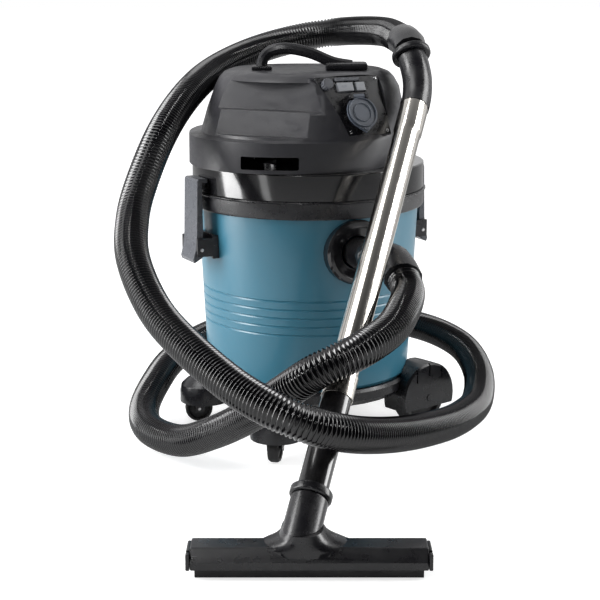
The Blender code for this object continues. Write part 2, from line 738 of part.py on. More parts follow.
def make_latch(name, azimuth):
    """Lever on a pin between two bracket ears; its hooked head lies over the catch on the band."""
    turn = facing(azimuth)
    level = turn @ aim((1, 0, 0))
    pin_out = LEVER_OUT + LEVER_THICK / 2
    catch_z = BAND_Z0 + 0.006
    head_z = catch_z + CATCH_HIGH + 0.0008
    low, high = LATCH_PIN_Z - LEVER_TIP, head_z + 0.006
    inner, outer = LEVER_OUT, LEVER_OUT + LEVER_THICK
    # side view of the lever: (out from the collar, height)
    side = [(inner, high - 0.006), (inner - 0.0085, high - 0.006), (inner - 0.0085, high),
            (outer - 0.002, high), (outer, high - 0.003), (outer + 0.001, LATCH_PIN_Z + 0.06),
            (outer + 0.002, LATCH_PIN_Z + 0.02), (outer + 0.004, LATCH_PIN_Z),
            (outer + 0.008, low + 0.006), (outer + 0.006, low), (outer + 0.002, low + 0.002),
            (inner, LATCH_PIN_Z - 0.012), (inner - 0.001, LATCH_PIN_Z)]
    half = LATCH_WIDE / 2 - BRACKET_EAR - GAP
    rings = [[(x, z, RIM_R + out) for out, z in side] for x in (-half, half)]
    lever = part(f"latch_lever_{name}", loft("lever", rings), LEVER, (0, 0, 0), turn)
    bevel(lever, 0.0009, 1)
    hole = rod("latch_hole", LATCH_PIN_R + PIN_GAP, -0.05, 0.05, 16)
    spot = latch_point(azimuth, pin_out, LATCH_PIN_Z)
    cut(lever, tool(f"lever_hole_{name}", hole, spot, level))
    centre_on(lever, spot)
    # bracket: a foot plate on the tank's wall with two ears
    wall = tank_radius(LATCH_PIN_Z) - RIM_R
    ear_x = LATCH_WIDE / 2 - BRACKET_EAR / 2
    foot_deep = 0.004
    bracket = part(f"latch_bracket_{name}",
                   block("bracket", (LATCH_WIDE, 0.034, 0.012),
                         (0, LATCH_PIN_Z + 0.003, RIM_R + wall + 0.001)), SATIN, (0, 0, 0), turn)
    for x in (-ear_x, ear_x):
        ear = block("ear", (BRACKET_EAR, 0.026, pin_out + LEVER_EYE_R - wall),
                    (x, LATCH_PIN_Z + 0.003, RIM_R + (pin_out + LEVER_EYE_R + wall) / 2))
        join(bracket, tool(f"latch_ear_{name}_{x > 0}", ear, (0, 0, 0), turn))
    cut(bracket, tank_skin(f"skin_{name}"), tool(f"bracket_hole_{name}", hole.copy(), spot, level),
        tool(f"bracket_relief_{name}", block("relief", (2 * half + 2 * GAP, 0.09, 0.05),
                                             (0, LATCH_PIN_Z, RIM_R + wall + foot_deep + 0.025)),
             (0, 0, 0), turn))
    part(f"latch_pin_{name}", rod("latch_pin", LATCH_PIN_R, -LATCH_WIDE / 2 - 0.0008,
                                  LATCH_WIDE / 2 + 0.0008, 16), STEEL, spot, level)
    catch = part(f"latch_catch_{name}",
                 block("catch", (CATCH_WIDE, CATCH_HIGH, CATCH_DEEP),
                       (0, catch_z + CATCH_HIGH / 2, RIM_R - 0.002)), SATIN, (0, 0, 0), turn)
    band = turned(tool, f"band_skin_{name}", [(0.0, 0.5), (BAND_R + GAP, 0.5), (BAND_R + GAP, 0.3),
                                              (0.0, 0.3)], steps=64, ring=False)
    cut(catch, band)


def tank_skin(name):
    """A solid just larger than the tank, to cut what seats on its wall."""
    low = TANK_FOOT_Z - GAP
    profile = [(0.0, TANK_TOP_Z), (tank_radius(TANK_TOP_Z) + GAP, TANK_TOP_Z),
               (tank_radius(low) + GAP, low), (0.0, low)]
    return turned(tool, name, profile, steps=64, ring=False)


def centre_on(obj, spot):
    """Move an object's origin to a point on its joint axis, the shape staying put."""
    back = obj.matrix_world.inverted() @ Vector(spot)
    obj.data.transform(Matrix.Translation(-back))
    obj.matrix_world = obj.matrix_world @ Matrix.Translation(back)


# ---- inlet, hose, grip and wand ---------------------------------------------------------------
def inlet_axis():
    return Vector((cos(INLET_AZ), sin(INLET_AZ), 0.0))


def inlet_point(out):
    return inlet_axis() * (tank_radius(INLET_Z) + out) + UP * INLET_Z


INLET_FACE = INLET_RING_HIGH - INLET_SINK + 0.0045
ELBOW_END = Vector((0.1040, -0.2230, 0.2938))
ELBOW_AIM = Vector((0.62, -0.78, -0.06)).normalized()
ELBOW_ROUTE = [inlet_point(INLET_FACE - 0.006), inlet_point(0.024), Vector((0.0880, -0.2040, 0.2945)),
               ELBOW_END + ELBOW_AIM * 0.006]
CUFF_ROUTE = [ELBOW_END - ELBOW_AIM * 0.006, Vector((0.1185, -0.2430, 0.2890)),
              Vector((0.1290, -0.2770, 0.2730))]
HOSE_ROUTE = [Vector(p) for p in (
    (0.1284, -0.2725, 0.2751), (0.132, -0.300, 0.262), (0.122, -0.356, 0.252), (0.101, -0.417, 0.240),
    (0.060, -0.475, 0.228), (0.010, -0.488, 0.207), (-0.033, -0.452, 0.168), (-0.077, -0.387, 0.119),
    (-0.128, -0.306, 0.070), (-0.180, -0.239, 0.036), (-0.230, -0.165, 0.029), (-0.247, -0.085, 0.036),
    (-0.235, -0.010, 0.058), (-0.212, 0.070, 0.075), (-0.160, 0.175, 0.088), (-0.055, 0.243, 0.098),
    (0.070, 0.240, 0.103), (0.180, 0.175, 0.103), (0.243, 0.085, 0.094), (0.262, -0.020, 0.078),
    (0.248, -0.142, 0.067), (0.215, -0.245, 0.074), (0.170, -0.345, 0.090), (0.105, -0.465, 0.118),
    (0.040, -0.559, 0.150), (-0.020, -0.588, 0.177), (-0.083, -0.548, 0.199), (-0.147, -0.474, 0.230),
    (-0.197, -0.395, 0.262), (-0.232, -0.313, 0.310), (-0.240, -0.242, 0.351), (-0.232, -0.191, 0.394),
    (-0.208, -0.126, 0.456), (-0.179, -0.025, 0.501), (-0.145, 0.085, 0.529), (-0.088, 0.175, 0.553),
    (-0.017, 0.225, 0.571), (0.055, 0.228, 0.582), (0.118, 0.140, 0.586), (0.142, 0.020, 0.5795))]
GRIP_CUFF_ROUTE = [Vector((0.1495, -0.0400, 0.5650)), Vector((0.1480, -0.0150, 0.5745)),
                   Vector((0.1405, 0.0290, 0.5800))]
HOSE_POINTS = 80


def wand_axis():
    return (WAND_END - WAND_TOP).normalized()


def wand_point(down):
    return WAND_TOP + wand_axis() * down


def grip_route():
    back = -wand_axis()
    return [WAND_TOP - back * 0.004, WAND_TOP + back * 0.020, Vector((0.1575, -0.0720, 0.5260)),
            Vector((0.1545, -0.0580, 0.5450)), Vector((0.1512, -0.0480, 0.5570))]


def make_inlet():
    turn = aim(inlet_axis())
    high = INLET_FACE
    profile = [(INLET_BORE_R, high - 0.004), (INLET_RING_R - 0.012, high - 0.003),
               (INLET_RING_R - 0.008, high), (INLET_RING_R - 0.003, high),
               (INLET_RING_R, high - 0.004), (INLET_RING_R, -0.016), (INLET_BORE_R, -0.016)]
    ring = turned(part, "inlet_flange", profile, GLOSS, inlet_point(0.0), turn, steps=30)
    cut(ring, tank_skin("inlet_skin"))
    elbow = tube_part("inlet_elbow", ELBOW_ROUTE, 12, ELBOW_R, GLOSS, 4)
    cuff = tube_part("inlet_cuff", CUFF_ROUTE, 8, CUFF_R, SATIN, 4)
    hose = smooth_line(HOSE_ROUTE, HOSE_POINTS)
    face_off(elbow, ELBOW_END, ELBOW_AIM)
    face_off(cuff, ELBOW_END + ELBOW_AIM * GAP, -ELBOW_AIM)
    ahead = (hose[1] - hose[0]).normalized()
    face_off(cuff, hose[0] - ahead * GAP, ahead)


def face_off(obj, spot, ahead):
    """End a piece in a flat face: what lies ahead of the plane at a spot is cut away."""
    cut(obj, tool(f"face_{obj.name}", block("face", (0.2, 0.2, 0.1), (0, 0, 0.05)), spot, aim(ahead)))


def tube_part(name, route, count, radius, mat, resolution):
    mesh = curve_mesh(name, tube_curve(name, smooth_line(route, count), radius, resolution))
    return part(name, mesh, mat)


def make_hose():
    curve = tube_curve("suction_hose", smooth_line(HOSE_ROUTE, HOSE_POINTS), HOSE_R, 2)
    curve.materials.append(HOSE)
    obj = bpy.data.objects.new("suction_hose", curve)
    PARTS.objects.link(obj)
    obj.parent = ROOT


def make_grip():
    grip = tube_part("bent_grip", grip_route(), 13, GRIP_R, SATIN, 4)
    turn = aim(-wand_axis())
    cut(grip, tool("wand_face", block("face", (0.2, 0.2, 0.1), (0, 0, GAP - 0.05)), WAND_TOP, turn))
    spigot = WAND_R + WAND_SWELL - WAND_WALL - GAP
    join(grip, tool("grip_spigot", rod("spigot", spigot, -GRIP_SPIGOT, 0.006, 28), WAND_TOP, turn))
    end = grip_route()[-1]
    along = (GRIP_CUFF_ROUTE[0] - grip_route()[-2]).normalized()
    profile = [(0.0, 0.0105), (COLLAR_R - 0.002, 0.0105), (COLLAR_R, 0.0085), (COLLAR_R, 0.003),
               (COLLAR_R - 0.002, 0.001), (0.0, 0.001)]
    turned(part, "grip_collar", profile, SATIN, end, aim(along), steps=32, ring=False)
    cuff = tube_part("grip_cuff", GRIP_CUFF_ROUTE, 8, CUFF_R - 0.0015, SATIN, 4)
    face_off(cuff, end + along * (0.0105 + GAP), -along)
    hose = smooth_line(HOSE_ROUTE, HOSE_POINTS)
    ahead = (hose[-2] - hose[-1]).normalized()
    face_off(cuff, hose[-1] - ahead * GAP, ahead)
    return grip


def make_wand():
    turn = aim(-wand_axis())
    length = (WAND_END - WAND_TOP).length
    swell, bore = WAND_R + WAND_SWELL, WAND_R - WAND_WALL
    spigot = bore - GAP
    split, end = WAND_SPLIT, WAND_SPLIT + WAND_SPIGOT
    # heights run down from the wand's top end
    upper = [(swell - WAND_WALL, 0.0), (swell, 0.0), (swell, -WAND_SLEEVE), (WAND_R, -WAND_SLEEVE - 0.006),
             (WAND_R, -split), (spigot, -split - 0.002), (spigot, -end),
             (spigot - WAND_WALL, -end), (spigot - WAND_WALL, -split), (bore, -split + 0.002),
             (bore, -WAND_SLEEVE - 0.006), (swell - WAND_WALL, -WAND_SLEEVE)]
    turned(part, "wand_upper", upper, CHROME, WAND_TOP, turn, steps=28)
    start = split + 0.0025
    lower = [(bore, -start), (WAND_R, -start), (WAND_R, -length), (bore, -length)]
    turned(part, "wand_lower", lower, CHROME, WAND_TOP, turn, steps=28)
    sleeve_low = start + 0.036
    sleeve = [(WAND_R + GAP, -start), (swell, -start - 0.001), (swell, -sleeve_low + 0.001),
              (WAND_R + GAP, -sleeve_low)]
    turned(part, "wand_joint_sleeve", sleeve, CHROME, WAND_TOP, turn, steps=28)


# ---- nozzle -----------------------------------------------------------------------------------
NOZZLE_X = WAND_END.x - 0.001


def neck_cross(z):
    """Where the wand's axis, run on, crosses a height."""
    axis = wand_axis()
    return WAND_END + axis * ((z - WAND_END.z) / axis.z)


def make_nozzle():
    half, deep = NOZZLE_WIDE / 2, NOZZLE_DEEP / 2
    top = NOZZLE_FOOT + NOZZLE_HIGH
    bar = [[(-half, -deep, NOZZLE_FOOT), (half, -deep, NOZZLE_FOOT), (half, deep, NOZZLE_FOOT),
            (-half, deep, NOZZLE_FOOT)],
           [(-half, -deep, NOZZLE_FOOT + 0.010), (half, -deep, NOZZLE_FOOT + 0.010),
            (half, deep, NOZZLE_FOOT + 0.010), (-half, deep, NOZZLE_FOOT + 0.010)],
           [(-half, -deep + 0.010, top), (half, -deep + 0.010, top), (half, deep - 0.004, top),
            (-half, deep - 0.004, top)]]
    body = part("nozzle_body", loft("nozzle_body", bar), SATIN, (NOZZLE_X, NOZZLE_Y, 0.0))
    bevel(body, 0.002)
    mouth = neck_cross(HUMP_TOP)
    foot_y, top_y = NOZZLE_Y, mouth.y
    rings = []
    for share, wide in HUMP_STEPS:
        y = foot_y + (top_y - foot_y) * share
        z = NOZZLE_FOOT + 0.004 + (HUMP_TOP - NOZZLE_FOOT - 0.004) * share
        depth = deep - 0.002 + (NECK_R / abs(wand_axis().z) + 0.001 - deep + 0.002) * share
        rings.append(oval(mouth.x * share + NOZZLE_X * (1 - share) - wide,
                          mouth.x * share + NOZZLE_X * (1 - share) + wide, y - depth, y + depth, z, 28))
    join(body, tool("hump", loft("hump", rings)))
    hollow = block("nozzle_hollow", (NOZZLE_WIDE - 2 * NOZZLE_WALL, NOZZLE_DEEP - 2 * NOZZLE_WALL, 0.016),
                   (0, 0, NOZZLE_FOOT + 0.006))
    cut(body, tool("nozzle_hollow", hollow, (NOZZLE_X, NOZZLE_Y, 0)))
    # passage from the neck down into the hollow
    cut(body, tool("passage", rod("passage", PASSAGE_R, NOZZLE_FOOT, HUMP_TOP + 0.02, 24),
                   (mouth.x, (mouth.y + NOZZLE_Y) / 2, 0)))
    for side in (-1, 1):
        cap = block("cap", (CAP_THICK, NOZZLE_DEEP, NOZZLE_HIGH * 0.8),
                    (side * (half + GAP + CAP_THICK / 2), 0, NOZZLE_FOOT + NOZZLE_HIGH * 0.4))
        name = "nozzle_cap_" + ("left" if side < 0 else "right")
        piece = bevel(part(name, cap, SATIN, (NOZZLE_X, NOZZLE_Y, 0)), 0.0012)
        cut(piece, tool(f"cap_notch_{side}", block("notch", (CAP_THICK * 2, 0.006, 0.006)),
                        (NOZZLE_X + side * (half + CAP_THICK), NOZZLE_Y - 0.012,
                         NOZZLE_FOOT + NOZZLE_HIGH * 0.8)))
    make_nozzle_feet(half, deep)


def make_nozzle_feet(half, deep):
    """Squeegee strips front and rear, let up into the body's hollow beside the insert plate."""
    strip_y = deep - NOZZLE_WALL - GAP - LIP_THICK / 2
    for name, side in (("squeegee_front", -1), ("squeegee_rear", 1)):
        size = (NOZZLE_WIDE - 2 * NOZZLE_WALL - 2 * GAP, LIP_THICK, LIP_HIGH)
        part(name, block(name, size, (0, 0, LIP_HIGH / 2)), RUBBER,
             (NOZZLE_X, NOZZLE_Y + side * strip_y, 0))
    width = 2 * (strip_y - LIP_THICK / 2 - GAP)
    size = (NOZZLE_WIDE - 2 * NOZZLE_WALL - 2 * GAP, width, INSERT_THICK)
    insert = part("nozzle_insert", block("nozzle_insert", size, (0, 0, NOZZLE_FOOT)), SATIN,
                  (NOZZLE_X, NOZZLE_Y, 0))
    slot = block("insert_slot", (NOZZLE_WIDE - 0.050, INSERT_SLOT, 0.03))
    cut(insert, tool("insert_slot", slot, (NOZZLE_X, NOZZLE_Y, NOZZLE_FOOT)))


def make_neck():
    turn = aim(-wand_axis())
    bore = NECK_R - NECK_WALL
    profile = [(bore - 0.003, -GAP), (NECK_R - 0.0010, -GAP), (NECK_R, -0.0025), (NECK_R, -0.090),
               (bore - 0.003, -0.090)]
    neck = turned(part, "nozzle_neck", profile, SATIN, WAND_END, turn, steps=28)
    below = tool("neck_floor", block("floor", (0.3, 0.3, 0.2), (0, 0, HUMP_TOP + GAP - 0.1)),
                 (NOZZLE_X, NOZZLE_Y, 0))
    cut(neck, below)
    ring = [(WAND_R + GAP, NECK_RING_HIGH), (NECK_RING_R - 0.002, NECK_RING_HIGH),
            (NECK_RING_R, NECK_RING_HIGH - 0.002), (NECK_RING_R, 0.002), (NECK_RING_R - 0.002, 0.0),
            (WAND_R + GAP, 0.0)]
    turned(part, "nozzle_collar", ring, SATIN, WAND_END, turn, steps=28)


# ---- base and wheels --------------------------------------------------------------------------
def make_base():
    top = TANK_FOOT_Z - GAP
    profile = [(0.0, top), (BASE_R - 0.004, top), (BASE_R, top - 0.004), (BASE_R, top - BASE_THICK + 0.008),
               (BASE_R - 0.008, top - BASE_THICK), (0.0, top - BASE_THICK)]
    base = turned(part, "base", profile, SATIN, steps=32, ring=False)
    roof = BOWL_ROOF_Z + BOWL_WALL
    for name, (x, y) in CASTER_PLACES.items():
        bowl = [(0.0, roof + STEM_HIGH + 0.002), (0.014, roof + STEM_HIGH + 0.001),
                (0.028, roof + STEM_HIGH * 0.62), (0.036, roof + 0.004), (BOWL_R, roof - 0.006),
                (BOWL_R, BOWL_RIM_Z), (0.0, BOWL_RIM_Z)]
        join(base, turned(tool, f"bowl_{name}", bowl, None, (x, y, 0), steps=24, ring=False))
        reach = Vector((x, y, 0)).length
        arm = block("arm", (reach + ARM_PAST, ARM_WIDE, ARM_THICK), ((reach + ARM_PAST) / 2, 0, top - 0.011))
        join(base, tool(f"arm_{name}", arm, (0, 0, 0), facing_x(x, y)))
    for name, azimuth in WHEEL_AZ.items():
        join(base, *arch_solids(name, azimuth))
    cut(base, tank_skin("base_skin"))
    for name, (x, y) in CASTER_PLACES.items():
        inside = rod("bowl_inside", BOWL_R - BOWL_WALL, BOWL_RIM_Z - 0.02, BOWL_ROOF_Z, 24)
        stem = rod("stem_hole", STEM_R + PIN_GAP, BOWL_ROOF_Z - 0.01,
                   BOWL_ROOF_Z + STEM_HIGH - 0.003, 20)
        cut(base, tool(f"bowl_inside_{name}", inside, (x, y, 0)), tool(f"stem_hole_{name}", stem, (x, y, 0)))
    for name, azimuth in WHEEL_AZ.items():
        cut(base, *arch_cutters(name, azimuth))
    return base


def facing_x(x, y):
    """Rotation with X out towards a point."""
    out = Vector((x, y, 0.0)).normalized()
    return Matrix((out, Vector((-out.y, out.x, 0)), UP)).transposed()


def wheel_centre(azimuth):
    return Vector((cos(azimuth), sin(azimuth), 0)) * WHEEL_RING + UP * WHEEL_R


def axle_turn():
    return aim((cos(AXLE_AZ), sin(AXLE_AZ), 0.0))


ARCH_HALF = WHEEL_WIDE / 2 + ARCH_GAP
ARCH_OUTER = WHEEL_R + ARCH_GAP + ARCH_WALL


def arch_solids(name, azimuth):
    half = ARCH_HALF + ARCH_WALL
    drum = rod("arch", ARCH_OUTER, -half, half, 32)
    centre = wheel_centre(azimuth)
    web = block("web", (WHEEL_RING * 0.7, 0.050, 0.018), (WHEEL_RING * 0.62, 0, TANK_FOOT_Z - 0.012))
    return (bevel(tool(f"arch_{name}", drum, centre, axle_turn()), 0.003, 1),
            tool(f"web_{name}", web, (0, 0, 0), facing_x(centre.x, centre.y)))


def arch_cutters(name, azimuth):
    centre = wheel_centre(azimuth)
    room = rod("wheel_room", WHEEL_R + ARCH_GAP, -ARCH_HALF, ARCH_HALF, 28)
    axle = rod("axle_hole", AXLE_R + PIN_GAP, -0.05, 0.05, 20)
    low = block("arch_low", (0.16, 0.16, 0.1), (0, 0, ARCH_CUT_Z - 0.05))
    made = [tool(f"wheel_room_{name}", room, centre, axle_turn()),
            tool(f"axle_hole_{name}", axle, centre, axle_turn()),
            tool(f"arch_low_{name}", low, (centre.x, centre.y, 0))]
    for i, angle in enumerate((-0.50, 0.0, 0.50)):
        slot = block("arch_slot", (ARCH_SLOT, 0.022, 0.006),
                     (ARCH_OUTER * sin(angle), ARCH_OUTER * cos(angle) - 0.010, ARCH_HALF + ARCH_WALL))
        upright = axle_turn()
        made.append(tool(f"arch_slot_{name}_{i}", slot, centre, upright))
    return made


def wheel_profile(radius, half, bore):
    tread = radius * 0.22
    return [(bore, half * 0.8), (radius * 0.32, half * 0.8), (radius - tread, half * 0.45),
            (radius - tread, half * 0.92), (radius - radius * 0.1, half), (radius, half * 0.62),
            (radius, -half * 0.62), (radius - radius * 0.1, -half), (radius - tread, -half * 0.92),
            (radius - tread, -half * 0.45), (radius * 0.32, -half * 0.8), (bore, -half * 0.8)]


def make_wheels():
    for name, azimuth in WHEEL_AZ.items():
        centre, turn = wheel_centre(azimuth), axle_turn()
        turned(part, f"wheel_{name}", wheel_profile(WHEEL_R, WHEEL_WIDE / 2, AXLE_R + PIN_GAP), RUBBER,
               centre, turn, steps=24)
        half = ARCH_HALF + ARCH_WALL
        part(f"axle_{name}", rod("axle", AXLE_R, -half - 0.001, half + 0.001, 20), STEEL, centre, turn)


def make_casters():
    for name, (x, y) in CASTER_PLACES.items():
        out = Vector((x, y, 0.0)).normalized()
        centre = Vector((x, y, 0)) + out * CASTER_TRAIL + UP * CASTER_R
        across = aim((-out.y, out.x, 0.0))
        turned(part, f"caster_wheel_{name}",
               wheel_profile(CASTER_R, CASTER_WIDE / 2, STEM_R * 0.5 + PIN_GAP), RUBBER,
               centre, across, steps=20)
        plate_top = BOWL_ROOF_Z - GAP
        fork = part(f"caster_fork_{name}", rod("fork", STEM_R, plate_top - 0.002,
                                               plate_top + STEM_HIGH - 0.004, 20), SATIN, (x, y, 0),
                    facing_x(x, y))
        plate = rod("plate", FORK_PLATE_R, plate_top - FORK_PLATE, plate_top, 24)
        join(fork, tool(f"plate_{name}", plate, (x, y, 0)))
        ear_y = CASTER_WIDE / 2 + 0.0006 + FORK_EAR / 2
        for side in (-1, 1):
            ear = block("fork_ear", (0.013, FORK_EAR, plate_top - 0.001 - CASTER_R + 0.005),
                        (CASTER_TRAIL * 0.9, side * ear_y, (plate_top - 0.001 + CASTER_R - 0.005) / 2))
            join(fork, tool(f"fork_ear_{name}_{side}", ear, (x, y, 0), facing_x(x, y)))
        hole = rod("fork_hole", STEM_R * 0.5 + PIN_GAP, -0.03, 0.03, 16)
        cut(fork, tool(f"fork_hole_{name}", hole, centre, across))
        span = ear_y + FORK_EAR / 2
        part(f"caster_axle_{name}", rod("caster_axle", STEM_R * 0.5, -span, span, 16), STEEL, centre,
             across)


# ---- motor, fan and filter --------------------------------------------------------------------
def make_inside():
    bore = DECK_BORE - 0.004
    fan_low, fan_high = DECK_Z1 + GAP, DECK_Z1 + GAP + FAN_HIGH
    wall = 0.0025
    housing = [(SHAFT_R * 2, fan_high), (FAN_R, fan_high), (FAN_R, fan_low), (bore, fan_low),
               (bore, fan_low + wall), (FAN_R - wall, fan_low + wall),
               (FAN_R - wall, fan_high - wall), (SHAFT_R * 2, fan_high - wall)]
    turned(part, "fan_housing", housing, SATIN, steps=28)
    motor_low = fan_high + GAP
    motor = [(0.0, motor_low + MOTOR_HIGH), (MOTOR_R - 0.004, motor_low + MOTOR_HIGH),
             (MOTOR_R, motor_low + MOTOR_HIGH - 0.004), (MOTOR_R, motor_low),
             (SHAFT_R + PIN_GAP, motor_low), (SHAFT_R + PIN_GAP, motor_low + 0.020),
             (0.0, motor_low + 0.020)]
    turned(part, "motor_can", motor, STEEL, steps=24, ring=False)
    low = fan_low + wall + 0.003
    rotor = turned(part, "impeller", [(0.0, low + IMPELLER_HIGH), (SHAFT_R * 1.6, low + IMPELLER_HIGH),
                                      (SHAFT_R * 1.6, low + 0.002), (IMPELLER_R, low + 0.002),
                                      (IMPELLER_R, low), (0.0, low)], STEEL, steps=24, ring=False)
    for i in range(BLADES):
        turn = Matrix.Rotation(2 * pi * i / BLADES, 3, "Z")
        blade = block("blade", (IMPELLER_R - 0.010, 0.0015, IMPELLER_HIGH - 0.003),
                      (IMPELLER_R / 2 + 0.002, 0, low + IMPELLER_HIGH / 2))
        join(rotor, tool(f"blade_{i}", blade, (0, 0, 0), turn))
    join(rotor, tool("motor_shaft", rod("shaft", SHAFT_R, low + 0.001, motor_low + 0.016, 20)))
    top = DECK_Z0 - GAP
    cage = [(CAGE_R, top), (CAGE_R, top - CAGE_HIGH), (0.0, top - CAGE_HIGH),
            (0.0, top - CAGE_HIGH + CAGE_WALL), (CAGE_R - CAGE_WALL, top - CAGE_HIGH + CAGE_WALL),
            (CAGE_R - CAGE_WALL, top)]
    frame = turned(part, "filter_cage", cage, SATIN, steps=24, ring=False)
    frame.data.edges.add(1)
    frame.data.edges[-1].vertices = (len(cage) - 1, 0)
    for i in range(4):
        turn = Matrix.Rotation(pi * i / 4, 3, "Z")
        window = block("cage_window", (CAGE_R * 3, 0.018, CAGE_HIGH - 0.024), (0, 0, top - CAGE_HIGH / 2))
        cut(frame, tool(f"cage_window_{i}", window, (0, 0, 0), turn))
    filter_r = CAGE_R + GAP + FILTER_WALL
    turned(part, "filter_element", [(CAGE_R + GAP, top - 0.004), (filter_r, top - 0.004),
                                    (filter_r, top - CAGE_HIGH + 0.004),
                                    (CAGE_R + GAP, top - CAGE_HIGH + 0.004)], PAPER, steps=28)
    ball_z = top - CAGE_HIGH + CAGE_WALL + GAP + BALL_R
    steps = 8
    ball = [(BALL_R * sin(pi * i / steps), ball_z + BALL_R * cos(pi * i / steps))
            for i in range(steps + 1)]
    turned(part, "float_ball", ball, SWITCH, steps=14, ring=False)


# ---- everything together ----------------------------------------------------------------------
def stand_on_origin():
    """Shift the whole object so that the origin is the middle of its footprint, on the floor."""
    bpy.context.view_layer.update()
    graph = bpy.context.evaluated_depsgraph_get()
    lows, highs = [1e9] * 3, [-1e9] * 3
    for obj in PARTS.objects:
        if obj.type == "EMPTY" or obj.name == "suction_hose":
            continue
        shape = obj.evaluated_get(graph)
        for corner in shape.bound_box:
            p = obj.matrix_world @ Vector(corner)
            lows = [min(a, b) for a, b in zip(lows, p)]
            highs = [max(a, b) for a, b in zip(highs, p)]
    ROOT.location = (-(lows[0] + highs[0]) / 2, -(lows[1] + highs[1]) / 2, -lows[2])
    shift = ROOT.location.copy()
    for obj in TOOLS.objects:
        obj.matrix_world = Matrix.Translation(shift) @ obj.matrix_world
    print("tank axis at", [round(v, 5) for v in shift])


def main():
    make_tank()
    make_collar()
    make_seal()
    make_deck()
    make_cover()
    make_back_pieces()
    make_panel()
    make_switches()
    make_socket()
    make_handle()
    for name, azimuth in zip(("left", "right"), LATCH_AZ):
        make_latch(name, azimuth)
    make_inlet()
    make_hose()
    make_grip()
    make_wand()
    make_nozzle()
    make_neck()
    make_base()
    make_wheels()
    make_casters()
    make_inside()
    stand_on_origin()


main()
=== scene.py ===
# %% [markdown]
# # Wet and dry shop vacuum
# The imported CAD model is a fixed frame: its pieces already sit where they belong. This file gives
# each piece its finish, and makes in fine detail what the frame only holds as a plain solid, above
# all the ribbed suction hose.

# %% Load the frame
import json
from math import cos, pi, radians, sin

import bmesh
import bpy
import numpy as np
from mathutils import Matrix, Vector

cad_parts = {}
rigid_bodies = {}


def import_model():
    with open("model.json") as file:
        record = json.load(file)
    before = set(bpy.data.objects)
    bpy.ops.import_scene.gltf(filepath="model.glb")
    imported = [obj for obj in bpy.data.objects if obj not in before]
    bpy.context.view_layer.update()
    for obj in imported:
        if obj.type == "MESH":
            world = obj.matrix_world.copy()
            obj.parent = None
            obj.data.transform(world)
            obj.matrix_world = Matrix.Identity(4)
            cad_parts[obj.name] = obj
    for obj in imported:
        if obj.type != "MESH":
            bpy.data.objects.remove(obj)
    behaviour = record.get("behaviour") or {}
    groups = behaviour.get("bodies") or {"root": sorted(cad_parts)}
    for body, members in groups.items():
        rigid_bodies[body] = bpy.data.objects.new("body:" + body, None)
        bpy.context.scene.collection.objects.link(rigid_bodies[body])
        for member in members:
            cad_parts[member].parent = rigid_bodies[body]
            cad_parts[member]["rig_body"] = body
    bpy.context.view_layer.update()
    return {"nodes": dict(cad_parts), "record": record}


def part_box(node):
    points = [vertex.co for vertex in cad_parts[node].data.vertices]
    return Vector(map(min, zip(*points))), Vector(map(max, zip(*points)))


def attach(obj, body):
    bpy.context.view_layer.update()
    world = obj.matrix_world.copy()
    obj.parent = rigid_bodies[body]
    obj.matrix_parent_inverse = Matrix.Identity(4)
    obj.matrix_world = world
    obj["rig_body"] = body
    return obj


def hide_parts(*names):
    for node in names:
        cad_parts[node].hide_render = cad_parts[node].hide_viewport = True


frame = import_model()
NODES = frame["nodes"]
BASE_BODY = "vacuum"
tank_low, tank_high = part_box("tank")
AXIS = Vector(((tank_low.x + tank_high.x) / 2, (tank_low.y + tank_high.y) / 2, 0.0))
print("nodes", len(NODES), "tank axis", [round(v, 4) for v in AXIS])

# %% [markdown]
# ## The studio
# A small product studio: a pale sweep under the vacuum, one tall softbox each side, a weaker one
# overhead, a narrow one low in front, and a small hard lamp that puts a spark on each rib of the
# hose. The space behind the camera is left dark, because polished metal and gloss plastic need
# something dark to mirror as much as they need the softboxes: it is what draws the two white edges
# and the dark core on a chrome tube.

# %% Camera
CAMERA_SPOT = Vector((-0.012, -2.255, 0.697))
CAMERA_PITCH = radians(12.8)
LENS_MM = 90.0

camera_data = bpy.data.cameras.new("studio_camera")
camera_data.lens = LENS_MM
camera_data.sensor_width = 36.0
camera_data.clip_end = 100.0
camera = bpy.data.objects.new("studio_camera", camera_data)
camera.location = AXIS + CAMERA_SPOT
camera.rotation_euler = (pi / 2 - CAMERA_PITCH, 0.0, 0.0)
bpy.context.scene.collection.objects.link(camera)
bpy.context.scene.camera = camera
bpy.context.scene.view_settings.view_transform = "Standard"
print("camera at", [round(v, 3) for v in camera.location])


# %% Softboxes
def softbox(name, spot, wide, high, watts, target=(0.0, 0.0, 0.30)):
    """A rectangular area light at a spot round the tank, turned to face a target."""
    data = bpy.data.lights.new(name, "AREA")
    data.shape = "RECTANGLE"
    data.size, data.size_y = wide, high
    data.energy = watts
    lamp = bpy.data.objects.new(name, data)
    lamp.location = AXIS + Vector(spot)
    away = Vector(spot) - Vector(target)
    lamp.rotation_euler = away.to_track_quat("Z", "Y").to_euler()
    bpy.context.scene.collection.objects.link(lamp)
    return lamp


LIGHTS = (
    softbox("softbox_left", (-1.9, -0.42, 0.85), 0.8, 2.2, 80.0),
    softbox("softbox_right", (1.9, 0.05, 0.95), 0.8, 2.2, 48.0),
    softbox("softbox_top", (-0.80, -0.10, 2.1), 0.8, 0.9, 12.0),
    softbox("softbox_front", (-1.25, -1.45, 0.30), 0.25, 1.2, 3.0),
    softbox("key_spark", (-0.35, -1.9, 1.75), 0.16, 0.16, 4.5),
)
print("lights", [lamp.name for lamp in LIGHTS])


